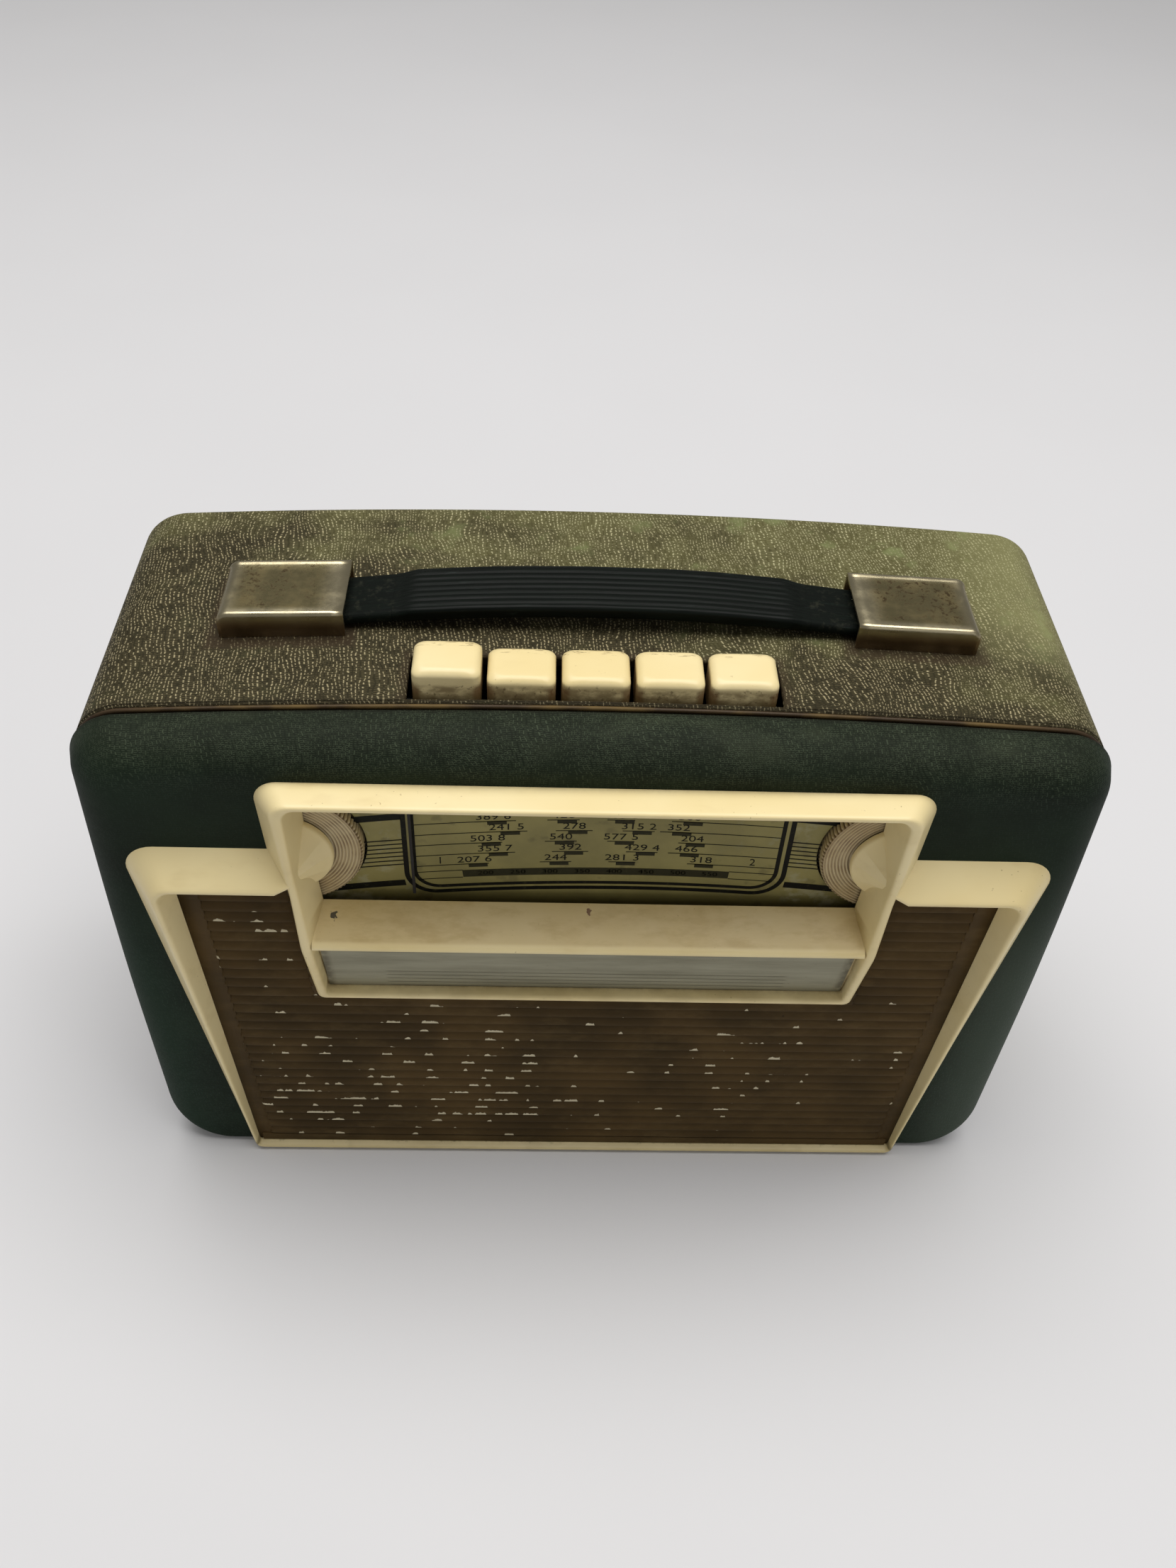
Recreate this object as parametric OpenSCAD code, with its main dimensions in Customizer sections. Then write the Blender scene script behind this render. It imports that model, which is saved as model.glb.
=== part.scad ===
/* [Case] */
// Width of the case body across its sides
case_w = 277; // [274:1:280]
// Height of the case at the middle of its crowned top
case_h = 189.5; // [188:0.5:191]
// Depth from the green face to the back
case_d = 109; // [107:0.5:110]
// How far the top rises from its shoulders to its middle
crown = 4.2; // [3.6:0.1:4.6]
// Radius of the upper corners, seen from the front
top_r = 16; // [14:1:18]
// Radius of the lower corners, seen from the front
foot_r = 21; // [19:1:22]
// Thickness of the case wall
wall = 4; // [3.8:0.1:4.2]
// Radius of the rounded rear edges
rear_r = 5; // [3:0.5:6]
// Width of the back cover's rim in the case
rear_rim = 12; // [11:0.5:13]

/* [Front shell] */
// Depth of the front shell, from its face to the seam
shell_d = 15; // [14:0.5:16]
// How much wider the shell is than the body on each side
shell_over = 0.4; // [0.2:0.1:0.6]
// How far the shell's face narrows on each side, from mid height to its upper corners
shell_bow = 4.5; // [3:0.5:5]
// Radius of the shell's front edge at its top and sides
face_r = 10; // [8:0.5:11]
// Radius of the shell's front edge along the floor
face_foot_r = 2.5; // [2:0.5:3.5]
// Width of the dark groove behind the shell
groove_w = 1.7; // [1.5:0.1:2]

/* [Front moulding] */
// How far the moulding stands out from the green face
proud = 9; // [8:0.5:10]
// Height of the dial surround's top
dial_top = 176.8; // [176:0.1:178]
// Half width of the surround where it meets the green face
dial_foot_x = 88.6; // [88:0.1:89.5]
// Half width of the surround along its front edge
dial_edge_x = 83; // [82.5:0.1:83.5]
// Height of the surround's underside
dial_low = 88.4; // [88:0.1:89]
// Height at which the surround's front starts to lean back
lean_z = 118.2; // [117.5:0.1:119]
// Height of the grille frame's top where it meets the green face
frame_top = 151.4; // [150.5:0.1:152]
// Half width of the grille frame at its top and at the floor, on the green face
frame_x = [126.5, 111.6];
// Thickness of the moulding's front lip
lip = 1.8; // [1.5:0.1:2]

/* [Grille] */
// Distance from one louvre to the next
louvre_pitch = 4.4; // [4.3:0.05:4.6]
// Height of the plain strip below the louvres
grille_strip = 4.2; // [3.5:0.1:4.5]

/* [Wheels] */
// Radius of the volume and tuning wheels
wheel_r = 21.7; // [21:0.1:22]
// Distance of each wheel's shaft from the middle
wheel_x = 84.5; // [84:0.1:85]
// Height of the wheels' shafts
wheel_z = 146.5; // [146:0.1:147]
// Radius of the shafts
shaft_r = 3; // [3]
// Number of teeth round a wheel's rim
wheel_teeth = 90; // [72:1:100]

/* [Keys] */
// Distance from one push key to the next
key_pitch = 19.5; // [19.3:0.1:19.7]
// Width of a key
key_w = 18; // [17.8:0.1:18.2]
// Depth of a key, front to back
key_d = 14.2; // [13.8:0.1:14.4]
// Height of the keys' tops
key_top = 194; // [193:0.5:195]
// How much higher the first key stands
first_key_rise = 2; // [0:0.5:2.5]
// Travel of a key
key_travel = 4.5; // [3.5:0.5:4.5]

/* [Handle] */
// Width of the strap
strap_w = 19.5; // [18:0.5:20]
// Thickness of the grip at its middle
strap_t = 4.1; // [4:0.1:4.4]
// Height of the strap's underside at its middle
strap_low = 193.9; // [193.8:0.1:194.2]
// Half length of the ribbed grip
grip_x = 57; // [54:1:58]
// Where the caps' open ends lie, from the middle
cap_in = 69.9; // [69.4:0.1:70.4]
// Length of a cap
cap_l = 34.6; // [33:0.1:35]
// Width of a cap
cap_w = 24.5; // [24:0.5:25]
// Height of the caps' tops
cap_top = 196; // [195.6:0.1:196.4]

/* [Tuning drive] */
// Travel of the pointer across the dial
dial_travel = 100; // [98:1:101]
// Radius of the cord on the tuning shaft
cord_shaft_r = 6.4; // [6.4]
// Radius of the drive cord
cord_r = 0.4; // [0.3:0.05:0.45]

/* [Hidden] */

eps = 0.05;
fit = 0.3;
running = 0.05;
screw_gap = 0.1;
round_fn = 64;

// Planes across the depth, from the front edge of the moulding to the back
back_y = (case_d + proud) / 2;
face_y = back_y - case_d;
edge_y = face_y - proud;
seam_y = face_y + shell_d;
body_y = seam_y + groove_w + 1.4;
inner_face_y = face_y + wall;
low_edge_y = edge_y + 5.3;
low_dial_y = edge_y + 5.7;
grille_y = face_y - 1.8;
grille_back_y = grille_y + 3.4;
baffle_y = inner_face_y;
baffle_t = 3;
wheel_y = inner_face_y + 0.4;
wheel_t = 5.8;
plate_y = face_y + 7;
rail_y = plate_y + 3.4;
cord_y = plate_y + 8;
chassis_y = plate_y + 13;
chassis_t = 1.2;
chassis_back = chassis_y + chassis_t;

// The case outline: a crowned top, round corners and a flat foot
body_hw = case_w / 2;
shell_hw = body_hw + shell_over;
shell_h = case_h + 0.5;
corner_n = 8;

function arc(c, r, a0, a1, n) =
  [for (i = [0:n]) let (a = a0 + (a1 - a0) * i / n) c + r * [cos(a), sin(a)]];

function crown_r(hw) = (pow(hw - top_r, 2) + crown * crown) / (2 * crown);
function crown_z(x, hw, h) = h - crown_r(hw) + sqrt(pow(crown_r(hw), 2) - x * x);

function mirrored(right) =
  concat(right, [for (i = [len(right) - 1:-1:0]) [-right[i][0], right[i][1]]]);

// The outline moved inwards by d and up from the floor by foot, its sides bowed in above bow_z
bow_z = 65;
function case_outline(hw, h, d, foot, bow = 0) =
  let (big = crown_r(hw - bow), x = hw - bow - top_r, z = h - big + sqrt(pow(big - top_r, 2) - x * x),
    side = acos(x / (big - top_r)), r = max(0.5, foot_r - d), rise = z - bow_z,
    top_step = (90 - side) / 5.5)
  mirrored(concat(arc([hw - d - r, foot + r], r, -90, 0, 6),
    [for (k = [0:3]) [hw - d - bow * k * k / 16, bow_z + rise * k / 4]],
    arc([x, z], top_r - d, atan(2 * bow / rise), side, corner_n),
    arc([0, h - big], big - d, side + top_step, side + 5 * top_step, 4)));

function at_y(outline, y) = [for (p = outline) [p[0], y, p[1]]];
function body_ring(y, d) = at_y(case_outline(body_hw, case_h, d, d), y);
function shell_ring(y, d, foot) = at_y(case_outline(shell_hw, shell_h, d, foot,
  shell_bow * (seam_y - min(y, seam_y)) / shell_d), y);

// A skin through rings of equal count, front to back on the outside
module loft(rings, loop = false) {
  n = len(rings[0]);
  m = len(rings);
  spans = loop ? m : m - 1;
  sides = [for (i = [0:spans - 1], j = [0:n - 1])
    let (a = i * n + j, b = i * n + (j + 1) % n, k = (i + 1) % m * n)
    each [[a, b, k + (j + 1) % n], [a, k + (j + 1) % n, k + j]]];
  caps = loop ? [] : [[for (j = [n - 1:-1:0]) j], [for (j = [0:n - 1]) (m - 1) * n + j]];
  polyhedron(points = [for (r = rings) each r], faces = concat(sides, caps), convexity = 8);
}

// A profile of [y, z] points drawn out along x between two places
module bar_x(x0, x1, profile) {
  translate([x0, 0, 0]) rotate([90, 0, 90]) linear_extrude(x1 - x0) polygon(profile);
}

// An outline of [x, z] points drawn out along y between two places
module slab_y(y0, y1, outline) {
  translate([0, y1, 0]) rotate([90, 0, 0]) linear_extrude(y1 - y0) polygon(outline);
}

module rod_y(x, z, r, y0, y1, fn = round_fn) {
  translate([x, y1, z]) rotate([90, 0, 0]) cylinder(r = r, h = y1 - y0, $fn = fn);
}

module rod_z(x, y, r, z0, z1, fn = 32) {
  translate([x, y, z0]) cylinder(r = r, h = z1 - z0, $fn = fn);
}

module block(x0, x1, y0, y1, z0, z1) {
  translate([x0, y0, z0]) cube([x1 - x0, y1 - y0, z1 - z0]);
}

module both_sides() {
  children();
  mirror([1, 0, 0]) children();
}

// The handle stands a little to the right of the middle
module both_ends() {
  translate([handle_x, 0, 0]) both_sides() children();
}

// Case

slot_x0 = -1 - 2.5 * key_pitch - 0.5;
slot_x1 = -1 + 2.5 * key_pitch + 0.5;
key_y = face_y + 28.8;
slot_y0 = key_y - key_d / 2 - 2;
slot_y1 = key_y + key_d / 2 + 0.9;
handle_y = face_y + 57.2;
handle_x = 1;
cap_screw_x = cap_in + 26;
cap_screw_dy = 6;
back_screw_x = 118;
back_screw_z = 95;
spigot_d = 2.5;
ledge_y = back_y - 8;
cover_y = back_y - 4;
vent_count = 8;
vent_pitch = 7;
vent_z = 28;
vent_hw = 36;
vent_r = 1.2;

module case_body() {
  color("#6f6743") difference() {
    union() {
      loft(concat([body_ring(body_y, 0.6), body_ring(body_y + 0.6, 0)],
        [for (a = [0:18:90]) body_ring(back_y - rear_r * (1 - sin(a)), rear_r * (1 - cos(a)))]));
      loft([body_ring(seam_y - 2, spigot_d), body_ring(body_y + eps, spigot_d)]);
    }
    loft([body_ring(seam_y - 3, wall), body_ring(ledge_y, wall)]);
    loft([body_ring(ledge_y - eps, rear_rim + 3), body_ring(cover_y + eps, rear_rim + 3)]);
    loft([body_ring(cover_y, rear_rim), body_ring(back_y + eps, rear_rim)]);
    block(slot_x0, slot_x1, slot_y0, slot_y1, case_h - 2 * wall, case_h + 1);
    both_ends() for (s = [-1, 1])
      rod_z(cap_screw_x, handle_y + s * cap_screw_dy, 1.7, case_h - 12, case_h + 1);
  }
}

module front_shell() {
  color("#2c4236") difference() {
    loft(concat([for (a = [90:-15:0]) shell_ring(face_y + face_r * (1 - sin(a)),
        face_r * (1 - cos(a)), face_foot_r * (1 - cos(a)))],
      [shell_ring(seam_y - 1, 0, 0), shell_ring(seam_y, 0.8, 0.8)]));
    loft([shell_ring(inner_face_y, wall, wall), shell_ring(seam_y + 1, wall, wall)]);
    loft([shell_ring(seam_y - 2.4, spigot_d - 0.3, spigot_d - 0.3),
      shell_ring(seam_y + 1, spigot_d - 0.3, spigot_d - 0.3)]);
    slab_y(face_y - 1, inner_face_y + 1, dial_outline(spigot_in - fit));
    slab_y(face_y - 1, inner_face_y + 1, grille_outline(grille_flange + fit, fit));
    both_sides() for (p = baffle_screws)
      rod_y(p[0], p[1], 1.8 + screw_gap, inner_face_y - 2.6, inner_face_y + 1, 32);
  }
}

module seam_bead() {
  color("#7a6038") loft([body_ring(body_y - 1.35, 1), body_ring(body_y - 0.7, 0.25),
    body_ring(body_y - 0.05, 1), body_ring(body_y - 0.05, spigot_d - 0.1),
    body_ring(body_y - 1.35, spigot_d - 0.1)], loop = true);
}

module back_cover() {
  color("#4f4b33") difference() {
    loft([body_ring(cover_y, rear_rim + fit), body_ring(back_y - 1, rear_rim + fit),
      body_ring(back_y - 0.4, rear_rim + fit + 0.6)]);
    both_sides() {
      rod_y(back_screw_x, back_screw_z, 2.3, cover_y - 1, back_y);
      rod_y(back_screw_x, back_screw_z, 6.3, back_y - 2, back_y);
    }
    for (i = [0:vent_count - 1]) let (z = vent_z + i * vent_pitch) {
      block(-vent_hw, vent_hw, cover_y - 1, back_y, z - vent_r, z + vent_r);
      both_sides() rod_y(vent_hw, z, vent_r, cover_y - 1, back_y, 32);
    }
  }
}

module back_screws() {
  color("#a09a86") both_sides() difference() {
    union() {
      rod_y(back_screw_x, back_screw_z, 6, back_y - 2, back_y - 0.2);
      rod_y(back_screw_x, back_screw_z, 2, ledge_y - 9, back_y - 2);
    }
    block(back_screw_x - 7, back_screw_x + 7, back_y - 1.1, back_y, back_screw_z - 0.7,
      back_screw_z + 0.7);
  }
}

batten_x = 122;
module corner_blocks() {
  color("#b08f5c") both_sides() {
    difference() {
      block(back_screw_x - 6, body_hw - wall - 0.1, ledge_y - 12, ledge_y, back_screw_z - 11,
        back_screw_z + 11);
      rod_y(back_screw_x, back_screw_z, 2 + screw_gap, ledge_y - 10, ledge_y + 1);
    }
    difference() {
      block(batten_x, body_hw - wall - 0.1, chassis_back, chassis_back + 11, 108, 166);
      for (z = chassis_screw_z)
        rod_y(batten_x + 5, z, 1.5 + screw_gap, chassis_back - 1, chassis_back + 10);
    }
  }
}

// Front moulding: each ring runs up the right side and back down the left

dial_r = 6.5;
spigot_in = 1.5;
dial_edge_r = 5;
apex_z = 149;
bar_low = 142;

function dial_outline(d) = mirrored(concat(
  arc([81 - d - 2, dial_low - 0.6 + d + 2], 2, -90, 0, 2),
  [[82.6 - d, lean_z], [83.4 - d, bar_low], [dial_foot_x - 1 - d, apex_z + 0.5]],
  arc([dial_foot_x - dial_r, dial_top - dial_r], dial_r - d, 0, 90, 4)));

function dial_edge() = mirrored(concat(
  arc([dial_edge_x - 3.3 - 2, dial_low + 2], 2, -90, 0, 2),
  [[dial_edge_x - 1.9, lean_z], [dial_edge_x - 1.5, bar_low], [dial_edge_x - 1.2, apex_z]],
  arc([dial_edge_x - dial_edge_r, dial_top - dial_edge_r], dial_edge_r, 0, 90, 4)));

function dial_lip() = mirrored(concat(
  arc([dial_edge_x - 5.8 - 1, dial_low + 3.2], 1, -90, 0, 2),
  [[dial_edge_x - 4.6, lean_z], [dial_edge_x - 3.6, bar_low], [dial_edge_x - 3.2, apex_z]],
  arc([dial_edge_x - 2.7 - 4, dial_top - lip - 4], 4, 0, 90, 4)));

function dial_back() = mirrored(concat(
  arc([77.4 - 1, dial_low + 3.6 + 1], 1, -90, 0, 2),
  [[77.4, lean_z], [77.5, bar_low], [77.5, apex_z]],
  arc([77.5 - 4, dial_top - 3.4 - 4], 4, 0, 90, 4)));

// The surround's front edge is upright beside the dial and leans back beside the plate
function dial_depth(z) =
  z >= lean_z ? edge_y : edge_y + (low_dial_y - edge_y) * (lean_z - z) / (lean_z - dial_low);
function on_dial_front(outline) = [for (p = outline) [p[0], dial_depth(p[1]), p[1]]];

// The grille frame's front edge leans back all the way down
frame_edge_z = [2, frame_top - 7.8];
function frame_depth(z) =
  low_edge_y - (low_edge_y - edge_y) * (z - frame_edge_z[0]) / (frame_edge_z[1] - frame_edge_z[0]);
function on_frame_front(outline) = [for (p = outline) [p[0], frame_depth(p[1]), p[1]]];

function trapezium(top_x, top_z, top_c, low_x, low_z, low_c) = mirrored(concat(
  arc([low_x - low_c, low_z + low_c], low_c, -90, 0, 4),
  arc([top_x - top_c, top_z - top_c], top_c, 0, 90, 4)));

frame_top_edge = frame_edge_z[1];
function frame_foot() = trapezium(frame_x[0], frame_top, 6, frame_x[1], 0.6, 4);
function frame_edge() = trapezium(frame_x[0] - 8.2, frame_top_edge, 4, frame_x[1] - 2.4, 2, 3);
function frame_lip() =
  trapezium(frame_x[0] - 9.6, frame_top_edge - 1.4, 3.5, frame_x[1] - 3.7, 4.6, 1.5);
function frame_back() =
  trapezium(frame_x[0] - 13.7, frame_top_edge - 5, 3, frame_x[1] - 3.6, 5.2, 1.2);

// The shelf under the dial, with the recess for the plate below it
plate_face = [[low_dial_y + 3.1, dial_low + 2.3], [edge_y + 3.8, lean_z - 3]];
function ledge_profile() = [[inner_face_y - 0.2, lean_z + 8], [edge_y + 0.6, lean_z + 2],
  [edge_y + 0.1, lean_z + 1.2], [edge_y + 0.5, lean_z + 0.1], plate_face[1] + [0.9, 0],
  plate_face[0] + [0.9, 0], [low_dial_y + 1.2, dial_low + 1.2], [inner_face_y - 0.2, dial_low + 1.6]];

// Half of a cone that hides the hub of a wheel
module hub_cone() {
  intersection() {
    hull() {
      rod_y(wheel_x, wheel_z, 12.5, inner_face_y - 0.6, inner_face_y - 0.3, 32);
      translate([dial_edge_x - 1.8, edge_y + 0.9, apex_z - 0.6]) sphere(r = 0.7, $fn = 16);
    }
    block(0, dial_edge_x - 1.2, edge_y, inner_face_y, wheel_z - 20, wheel_z + 20);
  }
}

module front_moulding() {
  color("#ecdcae") union() {
    difference() {
      loft([on_frame_front(frame_edge()), at_y(frame_foot(), face_y), at_y(frame_back(), face_y),
        on_frame_front(frame_lip())], loop = true);
      block(-81, 81, edge_y - 1, face_y + 1, dial_low + 10, dial_top);
    }
    loft([on_dial_front(dial_edge()), at_y(dial_outline(0), face_y),
      at_y(dial_outline(spigot_in), face_y), at_y(dial_outline(spigot_in), inner_face_y - 0.2),
      at_y(dial_back(), inner_face_y - 0.2), on_dial_front(dial_lip())], loop = true);
    bar_x(-78, 78, ledge_profile());
    both_sides() hub_cone();
  }
}

module nameplate() {
  slope = plate_face[1] - plate_face[0];
  low = plate_face[0] + 0.04 * slope;
  high = plate_face[0] + 0.99 * slope;
  color("#8f9488") bar_x(-76.6, 76.6, [low, low + [0.85, 0], high + [0.85, 0], high]);
}

// Grille

grille_flange = 3;
grille_low = 5.4;
grille_high = frame_top_edge - 6;
function grille_x(z) = frame_x[1] - 4 + 0.036 * z;
function surround_x(z) = 81.3 + 0.045 * (z - dial_low + 0.4);
function grille_outline(over, gap) = mirrored([[grille_x(0) + over, grille_low - gap],
  [grille_x(grille_high) + over, grille_high + gap]]);

louvre_first = grille_low + grille_strip;
louvre_count = floor((grille_high - louvre_first - 3.2) / louvre_pitch);
function louvre_profile(z) = [[grille_y, z], [grille_back_y - 0.9, z + 1.7],
  [grille_back_y - 0.9, z + 2.9], [grille_y, z + 1.3]];

module speaker_grille() {
  wide = grille_outline(grille_flange, 0);
  open = mirrored([[grille_x(0) - 1.6, louvre_first - 0.6],
    [grille_x(grille_high) - 1.6, grille_high - 2]]);
  color("#4a3824") difference() {
    union() {
      difference() {
        slab_y(face_y + 0.1, grille_back_y, wide);
        slab_y(face_y - 1, grille_back_y + 1, open);
      }
      slab_y(grille_y + 0.2, face_y + 0.2, mirrored([[grille_x(0) - 0.2, grille_low],
        [grille_x(0) - 0.2, louvre_first - 0.6]]));
      for (i = [0:louvre_count]) let (z = louvre_first + i * louvre_pitch)
        bar_x(-grille_x(z) + 0.3, grille_x(z) - 0.3, louvre_profile(z));
      for (x = [0, 36, 98]) both_sides()
        block(x - 0.8, x + 0.8, grille_back_y - 1, grille_back_y, grille_low + 1, grille_high - 1);
    }
    slab_y(grille_y - 1, grille_back_y + 1, mirrored([[surround_x(dial_low - 1.5), dial_low - 1.5],
      [surround_x(grille_high + 1), grille_high + 1]]));
  }
}

module grille_cloth() {
  color("#3d3222") difference() {
    slab_y(grille_back_y + 0.6, grille_back_y + 1, grille_outline(grille_flange - 1, -1));
    block(-84.5, 84.5, face_y, inner_face_y, dial_low - 1.5, grille_high);
  }
}

speaker_z = 50;
baffle_screws = [[116, 12], [119, 110]];
module baffle_board() {
  color("#6b4d2e") difference() {
    block(-124, 124, baffle_y, baffle_y + baffle_t, 7, 118);
    rod_y(0, speaker_z, 39, baffle_y - 1, baffle_y + baffle_t + 1);
    for (p = speaker_holes)
      rod_y(p[0], p[1], 1.2 + screw_gap, baffle_y + 0.5, baffle_y + baffle_t + 1);
    both_sides() for (p = baffle_screws)
      rod_y(p[0], p[1], 2, baffle_y - 1, baffle_y + baffle_t + 1);
  }
}

// Dial and its drive

plate_top = wheel_z + 30.8;
module dial_plate() {
  color("#6d6845") difference() {
    block(-80, 80, plate_y, plate_y + 1, lean_z + 3, plate_top);
    both_sides() rod_y(wheel_x, wheel_z, wheel_r + 0.7, plate_y - 1, plate_y + 2);
  }
}

rail_z = plate_top + 2.7;
pulley_r = 4.6;
pulley_x = 61;
pulley_z = plate_top - 2;
cord_gap = 0.33;
cord_z = pulley_z + pulley_r + cord_gap + cord_r;
pointer_x = -dial_travel / 2;
bracket_x = dial_travel / 2 + 2.8;

module tuning_pointer() {
  color("#1f1c18") translate([pointer_x, 0, 0]) {
    difference() {
      block(-2, 2, rail_y - 1.8, cord_y + 1.4, rail_z - 1.8, rail_z + 2);
      translate([-3, rail_y, rail_z]) rotate([0, 90, 0]) cylinder(r = 1.06, h = 6, $fn = 32);
      translate([-3, cord_y, cord_z]) rotate([0, 90, 0]) cylinder(r = 0.8, h = 6, $fn = 32);
    }
    block(-1, 1, plate_y - 1.6, rail_y - 1.8, plate_top + 0.9, plate_top + 1.9);
    block(-0.4, 0.4, plate_y - 1.6, plate_y - 1.1, lean_z + 9.3, plate_top + 1.9);
  }
}

module pointer_rail() {
  color("#9a9a94") {
    translate([-bracket_x, rail_y, rail_z]) rotate([0, 90, 0])
      cylinder(r = 1, h = 2 * bracket_x, $fn = 32);
    both_sides() {
      block(bracket_x - 0.1, bracket_x + 1.1, rail_y - 1.6, rail_y + 1.8, rail_z - 9, rail_z + 2);
      block(bracket_x - 0.1, bracket_x + 1.1, rail_y, chassis_y, rail_z - 9, cord_z - 1.2);
    }
  }
}

module pulley(x) {
  color("#d8cfae") difference() {
    union() {
      rod_y(x, pulley_z, pulley_r, cord_y - 1.8, cord_y + 1.8);
      for (y = [cord_y - 1.8, cord_y + 0.9]) rod_y(x, pulley_z, pulley_r + 1, y, y + 0.9);
    }
    rod_y(x, pulley_z, 1.5 + running, cord_y - 3, cord_y + 3);
  }
}

module pulley_left() { pulley(-pulley_x); }
module pulley_right() { pulley(pulley_x); }

drum_x = 10;
drum_z = 133;
drum_cord_r = dial_travel / PI;
drum_r = drum_cord_r - cord_gap - cord_r;

module cord_drum() {
  color("#d9cda6") difference() {
    union() {
      difference() {
        rod_y(drum_x, drum_z, drum_r, cord_y - 2.5, cord_y + 2.5, 96);
        rod_y(drum_x, drum_z, drum_r - 3, cord_y - 1, cord_y + 3, 96);
      }
      for (y = [cord_y - 2.5, cord_y + 1.6]) difference() {
        rod_y(drum_x, drum_z, drum_r + 2.2, y, y + 0.9, 96);
        rod_y(drum_x, drum_z, drum_r - 3, y + 0.45, y + 2, 96);
      }
      rod_y(drum_x, drum_z, 6.5, cord_y - 2.5, cord_y + 3.5);
    }
    rod_y(drum_x, drum_z, shaft_r + 0.02, cord_y - 4, cord_y + 5);
    for (a = [30:60:330]) rod_y(drum_x + 17 * cos(a), drum_z + 17 * sin(a), 5.5,
      cord_y - 4, cord_y + 4);
  }
}

// The cord runs clockwise from the left pulley along the top, over the right pulley, once more
// than it needs to round the tuning shaft and the drum, and back up, in a strand that never
// touches itself
cord_lead = 1.05;
cord_step = 18;
function tangent_dir(p, r, q, s) =
  let (d = q - p) atan2(d[1], d[0]) + acos((r - s) / norm(d));
function cord_turn(c, r, a0, a1, y0, y1) =
  let (n = ceil((a0 - a1) / cord_step))
  [for (i = [0:n]) let (a = a0 + (a1 - a0) * i / n)
    [c[0] + r * cos(a), cord_y + y0 + (y1 - y0) * i / n, c[1] + r * sin(a)]];

left_c = [-pulley_x, pulley_z];
right_c = [pulley_x, pulley_z];
shaft_c = [wheel_x, wheel_z];
drum_c = [drum_x, drum_z];
pulley_cord_r = pulley_r + cord_gap + cord_r;
to_shaft = tangent_dir(right_c, pulley_cord_r, shaft_c, cord_shaft_r);
to_drum = tangent_dir(shaft_c, cord_shaft_r, drum_c, drum_cord_r) - 360;
to_left = tangent_dir(drum_c, drum_cord_r, left_c, pulley_cord_r) - 360;
shaft_half = cord_lead * (to_shaft - to_drum + 360) / 720;
drum_half = cord_lead * (to_drum - to_left + 360) / 720;
cord_path = concat(
  cord_turn(left_c, pulley_cord_r, to_left + 360, 90, 0, 0),
  cord_turn(right_c, pulley_cord_r, 90, to_shaft, 0, 0),
  cord_turn(shaft_c, cord_shaft_r, to_shaft, to_drum - 360, -shaft_half, shaft_half),
  cord_turn(drum_c, drum_cord_r, to_drum, to_left - 360, drum_half, -drum_half));

// A round strand of six sides through a list of points, cut square to end where it stops
function strand_ring(p, along, t, r) =
  let (a = cross(t, cross(along, [0.08, 1, 0.05])), v = a / norm(a), u = cross(v, t))
  [for (k = [0:5]) p + r * (cos(60 * k) * u + sin(60 * k) * v)];

module strand(path, r, closed = false) {
  n = len(path);
  loft([for (i = [0:n - 1]) let (
      a = closed ? path[(i + n - 1) % n] : path[max(i - 1, 0)],
      b = closed ? path[(i + 1) % n] : path[min(i + 1, n - 1)],
      along = (b - a) / norm(b - a), stop = !closed && (i == 0 || i == n - 1))
    strand_ring(path[i], along, stop ? [0, sign(along[1]), 0] : along, r)], loop = closed);
}

module drive_cord() {
  color("#c9bd97") strand(cord_path, cord_r, closed = true);
}

vane_pitch = 3.4;
vane_t = 0.8;
cap_front = chassis_back + 0.1;
cap_back = cap_front + 32;
first_vane = cap_front + 4;

module tuning_rotor() {
  color("#b9b7a8") {
    rod_y(drum_x, drum_z, shaft_r, cord_y - 3.4, cap_back + 1.8);
    for (i = [0:6]) intersection() {
      rod_y(drum_x, drum_z, 16, first_vane + i * vane_pitch, first_vane + i * vane_pitch + vane_t);
      block(drum_x - 2, drum_x + 17, cap_front, cap_back, drum_z - 17, drum_z + 17);
    }
  }
}

module tuning_capacitor() {
  color("#a8a69a") difference() {
    union() {
      for (y = [cap_front, cap_back - 1.5])
        block(drum_x - 22, drum_x + 24, y, y + 1.5, drum_z - 18.5, drum_z + 19);
      block(drum_x - 22, drum_x + 24, cap_front, cap_back, drum_z - 18.5, drum_z - 17);
      for (s = [-1, 1]) rod_y(drum_x + 20, drum_z + s * 12, 1.2, cap_front, cap_back, 24);
      for (i = [0:5]) let (y = first_vane + (i + 0.5) * vane_pitch)
        block(drum_x + 3, drum_x + 22, y, y + vane_t, drum_z - 15, drum_z + 15);
    }
    rod_y(drum_x, drum_z, shaft_r + running, cap_front - 1, cap_front + 2);
    rod_y(drum_x, drum_z, shaft_r + running, cap_back - 2, cap_back + 1);
    rod_y(drum_x, drum_z, 5.5, cap_front + 1.6, cap_back - 1.6);
  }
}

// Thumbwheels

tooth = 0.5;
function toothed(r) = [for (i = [0:wheel_teeth - 1], k = [0, 1])
  let (a = 360 * (i + k / 2) / wheel_teeth, q = r - (k == 0 ? 0 : tooth)) q * [cos(a), sin(a)]];

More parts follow.
